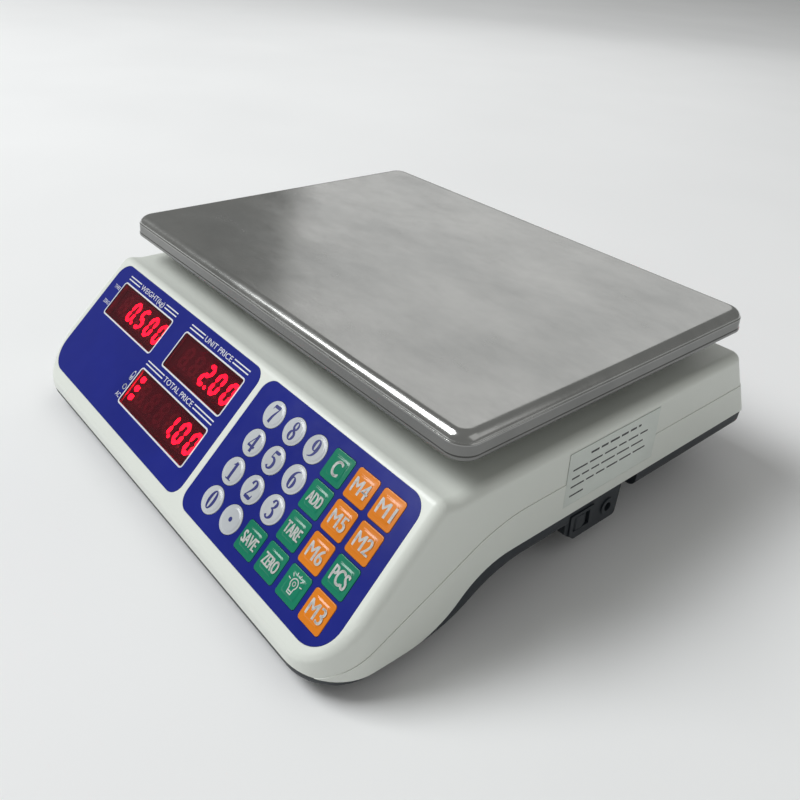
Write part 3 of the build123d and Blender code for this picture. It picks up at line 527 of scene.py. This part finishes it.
def segment_outline(which):
    """Six-cornered bar of one segment, about the digit's middle, upright."""
    w, h, s, gap = DIGIT_W / 2, DIGIT_H / 2, STROKE / 2, SEGMENT_GAP
    across = {"a": h - s, "g": 0.0, "d": -h + s}
    if which in across:
        y, x0, x1 = across[which], -w + s + gap, w - s - gap
        return [(x0, y), (x0 + s, y - s), (x1 - s, y - s), (x1, y), (x1 - s, y + s), (x0 + s, y + s)]
    x = w - s if which in "bc" else -w + s
    y0, y1 = (gap, h - s - gap) if which in "bf" else (-h + s + gap, -gap)
    return [(x, y0), (x + s, y0 + s), (x + s, y1 - s), (x, y1), (x - s, y1 - s), (x - s, y0 + s)]


def leaning_outline(points):
    return [(x + y * LEAN, y) for x, y in points]


def point_outline():
    """The decimal point, at the lower right of its digit."""
    x0, y0 = DIGIT_W / 2 + 1.5 * MM - DIGIT_H / 2 * LEAN, (STROKE - DIGIT_H) / 2
    return [(x0 + x, y0 + y) for x, y in round_loop(STROKE / 2 * 0.95, 20)]


SEGMENT_MESH = {name: prism(leaning_outline(segment_outline(name)), SEGMENT_T) for name in "abcdefg"}
POINT_MESH = prism(point_outline(), SEGMENT_T)


def split_reading(text):
    """[(character, has a point)] for a reading such as 2.00."""
    cells = []
    for mark in text:
        if mark == ".":
            cells[-1] = (cells[-1][0], True)
        else:
            cells.append((mark, False))
    return cells


def digit_display(name, face, x, y, lift, count, reading):
    """Lit and unlit segments of one module, right-aligned reading, centred at x, y on a face."""
    cells = split_reading(reading)
    cells = [(" ", False)] * (count - len(cells)) + cells
    glowing, dark = [], []
    for place, (mark, has_point) in enumerate(cells):
        spot = face.matrix(x + (place - (count - 1) / 2) * PITCH, y, lift)
        for segment in "abcdefg":
            (glowing if segment in SEGMENTS[mark] else dark).append((SEGMENT_MESH[segment], spot))
        (glowing if has_point else dark).append((POINT_MESH, spot))
    add_print(name + "_lit_segments", join_meshes(name + "_lit", glowing), SEGMENT_LIT)
    add_print(name + "_dark_segments", join_meshes(name + "_dark", dark), SEGMENT_OFF)


def module_top(face, module):
    """Centre of a digit module's front on a face: across, up and height."""
    across, up, out = spread(face, module)
    return sum(across) / 2, sum(up) / 2, out[1]


WINDOW_H, WINDOW_CORNER_R = 23.6 * MM, 1.5 * MM
LINE = 0.95 * MM                    # printed frame line round a window
LIFT = 0.02 * MM                    # segments lie this far in front of their module
SHIFT_5, SHIFT_6 = 1.3 * MM, 1.6 * MM       # modules of 5 and 6 digits sit right of the window's middle
# (name, digit module, digits, reading, width of the window, shift, heading, width of the heading)
FRONT = [("weight", "weight_digits", 5, "0.500", 68.6 * MM, SHIFT_5, "WEIGHT(kg)", 33 * MM),
         ("unit_price", "unit_price_digits", 5, "2.00", 68.6 * MM, SHIFT_5, "UNIT PRICE", 31 * MM),
         ("total_price", "total_price_digits", 6, "1.00", 81.8 * MM, SHIFT_6, "TOTAL PRICE", 35 * MM)]
HEADING_UP, HEADING_H = 4.3 * MM, 3.6 * MM
RULE_STEP, RULE_H, RULE_SPACE = 2.2 * MM, 0.75 * MM, 1.7 * MM


def heading(x, top, width, text, text_width, marks):
    """A heading over a front window with a pair of rules each side of it."""
    y = top + HEADING_UP
    marks.append((text_mesh(text, HEADING_H, text_width), PANEL.matrix(x, y)))
    rule = (width - text_width) / 2 - RULE_SPACE
    for side in (-1, 1):
        for step in (-0.5, 0.5):
            middle = x + side * (width / 2 - rule / 2)
            marks.append((bar_mesh(rule, RULE_H), PANEL.matrix(middle, y + step * RULE_STEP)))


front_marks = []
windows = {}
for name, module, count, reading, width, shift, title, title_w in FRONT:
    x, y, depth = module_top(PANEL, module)
    digit_display(name, PANEL, x, y, depth + LIFT, count, reading)
    centre_x = x - shift
    windows[name] = (centre_x, y, width)
    front_marks.append((frame_mesh(width, WINDOW_H, WINDOW_CORNER_R, LINE), PANEL.matrix(centre_x, y)))
    heading(centre_x, y + WINDOW_H / 2 + 0.3 * MM, width, title, title_w, front_marks)


# ---------------------------------------------------------------- small marks beside the windows
def line_mesh(points, width, closed=False):
    """A printed line of constant width along flat points."""
    bars = []
    ends = points[1:] + points[:1] if closed else points[1:]
    for (x0, y0), (x1, y1) in zip(points, ends):
        length, angle = math.hypot(x1 - x0, y1 - y0), math.atan2(y1 - y0, x1 - x0)
        place = moved((x0 + x1) / 2, (y0 + y1) / 2) @ Matrix.Rotation(angle, 4, "Z")
        bars.append((bar_mesh(length + width * 0.8, width), place))
    return join_meshes("line", bars)


def battery_mark():
    outline = rounded_loop(2.6 * MM, 5.4 * MM, 0.9 * MM, 4)
    parts = [(line_mesh(outline, 0.4 * MM, True), moved(0, 0))]
    for width, up in ((1.7, -1.6), (1.7, -0.6), (1.2, 3.2)):        # two bars of charge, then the cap
        parts.append((bar_mesh(width * MM, 0.6 * MM), moved(0, up * MM)))
    return join_meshes("battery_mark", parts)


def ring_mesh(radius, line):
    return line_mesh(round_loop(radius, 24), line, True)


weight_x, weight_y, weight_w = windows["weight"]
total_x, total_y, total_w = windows["total_price"]
words_x = weight_x - weight_w / 2 - 5.6 * MM
for word, up in (("TARE", 6.2), ("ZERO", -5.8)):
    front_marks.append((text_mesh(word, 2.7 * MM, 7.4 * MM), PANEL.matrix(words_x, weight_y + up * MM)))
signs_x = total_x - total_w / 2 - 3.7 * MM
for sign, aside, up in ((battery_mark(), 0, 4.4), (ring_mesh(1.6 * MM, 0.6 * MM), 0, -3.4),
                        (text_mesh("AC", 3.2 * MM, 5.0 * MM), -0.8, -9.2)):
    front_marks.append((sign, PANEL.matrix(signs_x + aside * MM, total_y + up * MM)))
add_print("display_print", join_meshes("display_print", front_marks), INK["white"])

GLOW_R = 2.1 * MM                   # a lamp looks wider than its lens when it is lit


def status_glow():
    """The three lamps at the left of the total window."""
    (left, right), (foot, head), out = spread(PANEL, "status_leds")
    lens = prism(round_loop(GLOW_R, 28), SEGMENT_T)
    x, y, lift = (left + right) / 2, (foot + head) / 2, out[1] + INK_T
    reach = (head - foot) / 2 - (right - left) / 2
    return join_meshes("status_glow", [(lens, PANEL.matrix(x, y + step * reach, lift))
                                       for step in (-1, 0, 1)])


add_print("status_glow", status_glow(), SEGMENT_LIT)


# ---------------------------------------------------------------- customer display
# (name, middle of the window, its width, digits, reading, shift, heading, width of the heading), places in mm
REAR_PLACES = [("rear_weight", -78.0, 68.6, 5, "0.500", SHIFT_5, "WEIGHT(kg)", 30),
               ("rear_unit_price", 0.0, 68.6, 5, "2.00", SHIFT_5, "UNIT PRICE", 28),
               ("rear_total_price", 85.0, 81.8, 6, "1.00", SHIFT_6, "TOTAL PRICE", 31)]
REAR_HEADING_H, REAR_HEADING_UP = 2.8 * MM, 3.4 * MM

rear_marks = []
rear_depth = spread(REAR, "rear_digits")[2][1]
for name, middle, width, count, reading, shift, title, title_w in REAR_PLACES:
    x = middle * MM
    digit_display(name, REAR, x + shift, 0, rear_depth + LIFT, count, reading)
    rear_marks.append((frame_mesh(width * MM, WINDOW_H, WINDOW_CORNER_R, LINE), REAR.matrix(x, 0)))
    rear_marks.append((text_mesh(title, REAR_HEADING_H, title_w * MM),
                       REAR.matrix(x, WINDOW_H / 2 + REAR_HEADING_UP)))
add_print("rear_print", join_meshes("rear_print", rear_marks), INK["white"])


# ---------------------------------------------------------------- keys
KEY_W, ROUND_KEY_W, KEY_CORNER_R = 15.6 * MM, 15.2 * MM, 1.6 * MM
CAP_T, CAP_RISE = 1.6 * MM, 0.3 * MM        # a key cap, and how far it stands above the film
CAP_EDGE = [(0, 0.25), (0.03, 0.12), (0.10, 0.03), (0.25, 0), (0.45, 0)]    # inset, drop below the flat, mm
DOME_R, ROUND_DOME_R, DOME_H = 7.1 * MM, 6.8 * MM, 0.35 * MM
DOME_RINGS = (1.0, 0.97, 0.94, 0.91, 0.88, 0.85, 0.82, 0.8, 0.7, 0.5, 0.3, 0.12)     # shares of the radius
LEGENDS = {
    "seven": "7", "eight": "8", "nine": "9", "four": "4", "five": "5", "six": "6", "one": "1", "two": "2",
    "three": "3", "nought": "0", "point": ".", "clear": "C", "add": "ADD", "tare": "TARE", "save": "SAVE",
    "zero": "ZERO", "pieces": "PCS", "memory_1": "M1", "memory_2": "M2", "memory_3": "M3", "memory_4": "M4",
    "memory_5": "M5", "memory_6": "M6", "backlight": "",
}
ROUND = {"seven", "eight", "nine", "four", "five", "six", "one", "two", "three", "nought", "point"}
# height of the capitals and width of the word, mm
LEGEND_SIZE = {"C": (8.4, 5.8), "ADD": (6.3, 10.4), "PCS": (7.7, 11.2), "TARE": (6.3, 11.8),
               "SAVE": (6.3, 11.8), "ZERO": (6.3, 11.8)}
MEMORY_SIZE = (7.9, 11.2)
NUMERAL_H = 10.0 * MM
STRIKE = 0.2 * MM                   # words are printed three times, this far apart, to make them bold
WORD_BOLD = 0.008                   # and their outlines are grown by this share of the font's size
LEGEND_LIFT = CAP_RISE + 0.015 * MM


def dome_height(x, y, radius):
    """Height of the embossed dome above the cap's flat: a steep soft foot, then a shallow crown."""
    r = math.hypot(x, y) / radius
    if r >= 1.0:
        return 0.0
    foot = min(1.0, (1.0 - r) / 0.2)
    foot = foot * foot * (3 - 2 * foot)
    return DOME_H * (0.85 * foot + 0.15 * (1 - r * r))


def key_skin(round_key):
    """The printed cap and its dome's radius: outer loops with a soft edge, then rings over the dome."""
    dome_r = ROUND_DOME_R if round_key else DOME_R
    half = (ROUND_KEY_W if round_key else KEY_W) / 2

    def edge(inset, z):
        side = 2 * (half - inset)
        square = rounded_loop(side, side, KEY_CORNER_R - inset, 13)
        return [(x, y, z) for x, y in (round_loop(half - inset) if round_key else square)]

    loops = [edge(0, CAP_RISE - CAP_T)]
    loops += [edge(inset * MM, CAP_RISE - drop * MM) for inset, drop in CAP_EDGE]
    angles = [math.atan2(y, x) for x, y, z in loops[-1]]
    for share in DOME_RINGS:
        r = dome_r * share
        z = CAP_RISE + dome_height(r, 0, dome_r)
        loops.append([(r * math.cos(a), r * math.sin(a), z) for a in angles])
    return stack_loops(loops), dome_r


def drape(mesh, dome_r):
    """Cuts a flat legend into cells of 1 mm and lays it on the dome."""
    build = bmesh.new()
    build.from_mesh(mesh)
    for normal in ((1, 0, 0), (0, 1, 0)):
        for step in range(-7, 8):
            geometry = build.verts[:] + build.edges[:] + build.faces[:]
            cut = [along * (step * MM + 0.5 * MM) for along in normal]
            bmesh.ops.bisect_plane(build, geom=geometry, plane_co=cut, plane_no=normal)
    bmesh.ops.recalc_face_normals(build, faces=build.faces)
    for vert in build.verts:
        vert.co.z += dome_height(vert.co.x, vert.co.y, dome_r) + LEGEND_LIFT
    build.to_mesh(mesh)
    build.free()
    return mesh


def bulb_mark():
    """Backlight sign: a lamp bulb with rays."""
    line, bulb_r, up = 0.55 * MM, 2.4 * MM, 1.0 * MM
    middle = moved(0, up)
    angles = [math.radians(a) for a in range(-50, 231, 14)]
    glass = [(bulb_r * math.cos(a), up + bulb_r * math.sin(a)) for a in angles]
    foot = [(x * MM, y * MM) for x, y in ((1.5, -1.2), (1.3, -3.6), (-1.3, -3.6), (-1.5, -1.2))]
    parts = [(line_mesh(glass, line), moved(0, 0)), (line_mesh(foot, line), moved(0, 0)),
             (bar_mesh(2.6 * MM, line), moved(0, -2.5 * MM)), (ring_mesh(0.9 * MM, 0.45 * MM), middle)]
    for turn in range(-80, 81, 32):
        ray = middle @ Matrix.Rotation(math.radians(-turn), 4, "Z") @ moved(0, 4.4 * MM)
        parts.append((bar_mesh(0.45 * MM, 1.7 * MM), ray))
    return join_meshes("bulb", parts)


# Bold numerals with serifs, drawn with a broad pen: height 1, about x = 0. A stroke is a run of
# (x, y, width); a ring is (middle x, middle y, half width, half height, thick side, thin top).
STROKES = {
    "1": [[(0.02, 0.02, 0.17), (0.02, 0.98, 0.17)],
          [(-0.20, 0.79, 0.03), (-0.09, 0.86, 0.07), (0.0, 0.98, 0.11)],
          [(-0.20, 0.025, 0.05), (0.24, 0.025, 0.05)]],
    "2": [[(-0.18, 0.74, 0.13), (-0.13, 0.90, 0.10), (0.0, 0.96, 0.07), (0.12, 0.88, 0.13),
           (0.15, 0.74, 0.17), (0.08, 0.55, 0.13), (-0.07, 0.33, 0.07), (-0.22, 0.10, 0.05)],
          [(-0.24, 0.075, 0.13), (0.0, 0.08, 0.16), (0.17, 0.08, 0.15), (0.23, 0.14, 0.08),
           (0.265, 0.28, 0.03)]],
    "3": [[(-0.18, 0.78, 0.13), (-0.10, 0.93, 0.09), (0.02, 0.96, 0.07), (0.12, 0.87, 0.13),
           (0.12, 0.74, 0.15), (0.04, 0.60, 0.09), (-0.09, 0.535, 0.05)],
          [(-0.09, 0.535, 0.05), (0.06, 0.50, 0.09), (0.16, 0.36, 0.15), (0.16, 0.20, 0.16),
           (0.05, 0.06, 0.09), (-0.09, 0.04, 0.08), (-0.20, 0.15, 0.13)]],
    "4": [[(0.12, 0.98, 0.05), (-0.25, 0.33, 0.05)], [(-0.29, 0.28, 0.11), (0.28, 0.28, 0.11)],
          [(0.10, 0.99, 0.16), (0.10, 0.0, 0.16)]],
    "5": [[(-0.15, 0.92, 0.13), (0.14, 0.93, 0.14), (0.23, 1.0, 0.03)],
          [(-0.145, 0.97, 0.05), (-0.20, 0.58, 0.05)],
          [(-0.20, 0.58, 0.05), (-0.04, 0.62, 0.10), (0.12, 0.52, 0.14), (0.17, 0.34, 0.17),
           (0.13, 0.16, 0.14), (0.0, 0.05, 0.09), (-0.12, 0.05, 0.08), (-0.20, 0.15, 0.13)]],
    "6": [[(0.22, 0.97, 0.03), (0.04, 0.90, 0.07), (-0.10, 0.74, 0.12), (-0.16, 0.52, 0.16),
           (-0.16, 0.32, 0.16)]],
    "7": [[(-0.21, 0.905, 0.16), (0.24, 0.92, 0.15)], [(-0.225, 0.97, 0.04), (-0.26, 0.72, 0.03)],
          [(0.235, 0.93, 0.05), (0.10, 0.62, 0.09), (0.0, 0.34, 0.14), (-0.045, 0.0, 0.17)]],
    "8": [[(-0.11, 0.68, 0.09), (0.0, 0.54, 0.15), (0.13, 0.38, 0.11)]],
}
RINGS = {"0": [(0.0, 0.5, 0.27, 0.5, 0.17, 0.05)], "6": [(0.01, 0.31, 0.245, 0.31, 0.16, 0.05)],
         "8": [(0.0, 0.76, 0.20, 0.24, 0.12, 0.045), (0.0, 0.27, 0.245, 0.27, 0.15, 0.05)]}
PEN = 1.18                          # the pen is this much wider than the widths above


def pen_sections(points, closed):
    """Cross-sections of a pen stroke along its points, across the direction it moves in."""
    sections = []
    last = len(points) - 1
    for i, (x, y, width) in enumerate(points):
        before = points[i - 1] if i or closed else points[i]
        after = points[(i + 1) % len(points)] if i < last or closed else points[i]
        dx, dy = after[0] - before[0], after[1] - before[1]
        length = math.hypot(dx, dy) or 1.0
        ax, ay = -dy / length * width * PEN / 2, dx / length * width * PEN / 2
        sections.append([(x + ax, y + ay, 0), (x - ax, y - ay, 0), (x - ax, y - ay, 1), (x + ax, y + ay, 1)])
    return sections + sections[:1] if closed else sections


def smooth_run(points, steps=6):
    """Catmull-Rom curve through the points of a stroke, its width included."""
    padded = [points[0]] + list(points) + [points[-1]]
    run = []
    for a, b, c, d in zip(padded, padded[1:], padded[2:], padded[3:]):
        for k in range(steps):
            t = k / steps
            run.append(tuple(0.5 * (2 * q + (r - p) * t + (2 * p - 5 * q + 4 * r - u) * t * t
                                    + (3 * q - p - 3 * r + u) * t ** 3) for p, q, r, u in zip(a, b, c, d)))
    return run + [points[-1]]


def ring_run(x, y, half_w, half_h, thick, thin, steps=40):
    """Pen path round a ring, thick at its sides and thin at its top and foot."""
    run = []
    for k in range(steps):
        angle = 2 * PI * k / steps
        side = abs(math.cos(angle)) ** 1.4
        width = thin + (thick - thin) * side
        run.append((x + (half_w - thick / 2) * math.cos(angle),
                    y + (half_h - thin / 2) * math.sin(angle), width))
    return run


def numeral(text):
    """A figure of a key. The nine is the six, turned half round."""
    half_turn = Matrix.Rotation(PI, 4, "Z") if text == "9" else Matrix.Identity(4)
    shape = "6" if text == "9" else text
    runs = [(smooth_run(stroke), False) for stroke in STROKES.get(shape, [])]
    runs += [(ring_run(*ring), True) for ring in RINGS.get(shape, [])]
    size = Matrix.Diagonal((NUMERAL_H, NUMERAL_H, INK_T, 1)) @ Matrix.Translation((0, -0.5, 0))
    parts = [(stack_loops(pen_sections(run, closed), not closed, not closed), half_turn @ size)
             for run, closed in runs]
    return join_meshes("numeral", parts)


def legend_mesh(name):
    text = LEGENDS[name]
    if name == "backlight":
        return bulb_mark()
    if name == "point":
        return prism(round_loop(1.25 * MM, 24), INK_T)
    if name in ROUND:
        return numeral(text)
    height, width = LEGEND_SIZE.get(text, MEMORY_SIZE)
    bold = 0.0 if "M" in text else WORD_BOLD
    letters = text_mesh(text, height * MM, width * MM - 2 * STRIKE, bold)
    return join_meshes("word", [(letters, moved(aside, 0)) for aside in (-STRIKE, 0, STRIKE)])


def key_slot(name):
    if name in ROUND:
        return "key_grey"
    return "key_orange" if name.startswith("memory") else "key_green"


skins = {True: key_skin(True), False: key_skin(False)}
for name in LEGENDS:
    body = "key_" + name
    spot = PANEL.matrix(*PANEL.local(centre(body))[:2])
    skin, dome_r = skins[name in ROUND]
    mesh = skin.copy()
    mesh.transform(spot)
    cap = add_piece("cap_" + name, mesh, MAT[key_slot(name)], body)
    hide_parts(body)
    legend = drape(legend_mesh(name), dome_r)
    legend.transform(spot)
    ink = INK["navy" if name in ROUND else "pale"]
    add_print("legend_" + name, legend, ink, body)


# ---------------------------------------------------------------- tray
# The tray's section from its flat outwards and down, then back up inside: (inset from the outline,
# drop below the top) in mm.
OUTSIDE = [(6.9, 0.0), (6.2, 0.02), (5.5, 0.10), (4.6, 0.32), (3.7, 0.72), (2.8, 1.32), (2.0, 2.10),
           (1.35, 3.05), (0.95, 4.0), (0.85, 4.45), (0.55, 4.62), (0.42, 4.9), (0.40, 5.4), (0.40, 10.2),
           (0.36, 10.5), (0.12, 10.8), (0.0, 11.2), (0.0, 12.3), (0.14, 12.75), (0.45, 13.0), (0.9, 13.0),
           (1.3, 12.8), (1.45, 12.4), (1.45, 11.0), (1.2, 10.7)]
INSIDE = [(1.2, 5.4), (1.7, 4.4), (3.0, 2.2), (5.0, 1.1), (7.2, 0.8)]
TRAY_CORNER_R = 11.4 * MM


def tray_skin():
    """Pressed stainless tray: flat top, rolled shoulder with a crease, upright skirt and a curled hem."""
    low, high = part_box("weighing_tray")
    width, depth = high.x - low.x, high.y - low.y
    middle = (low + high) / 2
    rings = []
    for inset, drop in reversed(OUTSIDE + INSIDE):
        d, z = inset * MM, high.z - drop * MM
        outline = rounded_loop(width - 2 * d, depth - 2 * d, TRAY_CORNER_R - d, 18)
        rings.append([(middle.x + x, middle.y + y, z) for x, y in outline])
    return stack_loops(rings)


tray = add_piece("tray_sheet", tray_skin(), MAT["stainless"], "tray")
for polygon in tray.data.polygons:
    if len(polygon.vertices) > 4:           # the two flat sheets
        polygon.use_smooth = False
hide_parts("weighing_tray")


# ---------------------------------------------------------------- rating label: generic ruled lines only
# Rows: height above the label's middle, length and shift aside as shares of the label, line height in mm.
LABEL_ROWS = [(0.34, 0.56, 0.0, 1.32), (0.16, 0.86, -0.02, 1.02), (0.0, 0.80, -0.05, 1.02),
              (-0.16, 0.84, -0.03, 1.02), (-0.33, 0.16, -0.37, 1.02)]
WORD_RANGE, WORD_GAP, SHORTEST = (5, 12), 1.8 * MM, 1 * MM
RULING_T, RULING_LIFT, RULING_CORNER_R = 0.02 * MM, 0.01 * MM, 0.3 * MM


def label_print():
    low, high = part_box("rating_label")
    middle = (low + high) / 2
    face = Face(Vector((high.x, middle.y, middle.z)), Vector((0, 1, 0)), Vector((0, 0, 1)))
    width, height = high.y - low.y, high.z - low.z
    random.seed(4)
    parts = []
    for up, share, shift, tall in LABEL_ROWS:
        x, end = (shift - share / 2) * width, (shift + share / 2) * width
        while x < end - SHORTEST:
            word = min(random.uniform(*WORD_RANGE) * MM, end - x)
            parts.append((bar_mesh(word, tall * MM, RULING_CORNER_R, RULING_T),
                          face.matrix(x + word / 2, up * height, RULING_LIFT)))
            x += word + WORD_GAP
    return join_meshes("label_print", parts)


add_print("label_ruling", label_print(), INK["black"])


# ---------------------------------------------------------------- camera, light and floor
CAMERA_AT = (0.3711, -0.3101, 0.3189)
CAMERA_TURN = (65.72, -4.03, 48.48)         # degrees
LENS, SENSOR = 37.8225, 36                  # mm
LENS_SHIFT = (-0.0478, -0.1402)
SKY, SKY_STRENGTH = (0.97, 0.98, 0.96, 1), 0.27
FLOOR_SIZE = 8

camera_data = bpy.data.cameras.new("camera")
camera = bpy.data.objects.new("camera", camera_data)
bpy.context.scene.collection.objects.link(camera)
camera.location = CAMERA_AT
camera.rotation_euler = Euler([math.radians(a) for a in CAMERA_TURN])
camera_data.lens = LENS
camera_data.sensor_width = SENSOR
camera_data.shift_x, camera_data.shift_y = LENS_SHIFT
camera_data.clip_start = 10 * MM
bpy.context.scene.camera = camera


def softbox(name, place, aim, size, power, colour=(1, 1, 1)):
    """A rectangular lamp at a place, turned towards its aim: sizes in metres, power in watts."""
    data = bpy.data.lights.new(name, "AREA")
    data.shape = "RECTANGLE"
    data.size, data.size_y = size
    data.energy = power
    data.color = colour
    lamp = bpy.data.objects.new(name, data)
    bpy.context.scene.collection.objects.link(lamp)
    lamp.location = place
    lamp.rotation_euler = (Vector(aim) - Vector(place)).to_track_quat("-Z", "Y").to_euler()


softbox("key_light", (-2.2, -2.2, 3.65), (0, 0, 0.05), (2.4, 2.4), 184, (0.97, 0.99, 1.0))
softbox("tray_light", (-1.2, 1.5, 1.1), (0, 0, 0.10), (1.5, 1.2), 3.4)
softbox("side_fill", (3.0, 1.2, 2.6), (0, 0, 0.05), (3.0, 3.0), 11)

world = bpy.data.worlds.new("studio")
world.use_nodes = True
sky = world.node_tree.nodes["Background"]
sky.inputs["Color"].default_value = SKY
sky.inputs["Strength"].default_value = SKY_STRENGTH
bpy.context.scene.world = world
bpy.context.scene.view_settings.view_transform = "Standard"


def floor_material():
    material, tree, shader = new_material("floor_paper")
    point = object_point(tree)
    tree.links.new(ramp(tree, noise(tree, point, 3, 2, 0.5), [(0.3, grey(0.88)), (0.7, grey(0.91))]),
                   shader.inputs["Base Color"])
    shader.inputs["Roughness"].default_value = 0.8
    return material


floor_mesh = bpy.data.meshes.new("floor")
build = bmesh.new()
bmesh.ops.create_grid(build, x_segments=1, y_segments=1, size=FLOOR_SIZE)
build.to_mesh(floor_mesh)
build.free()
floor = bpy.data.objects.new("floor", floor_mesh)
floor_mesh.materials.append(floor_material())
bpy.context.scene.collection.objects.link(floor)
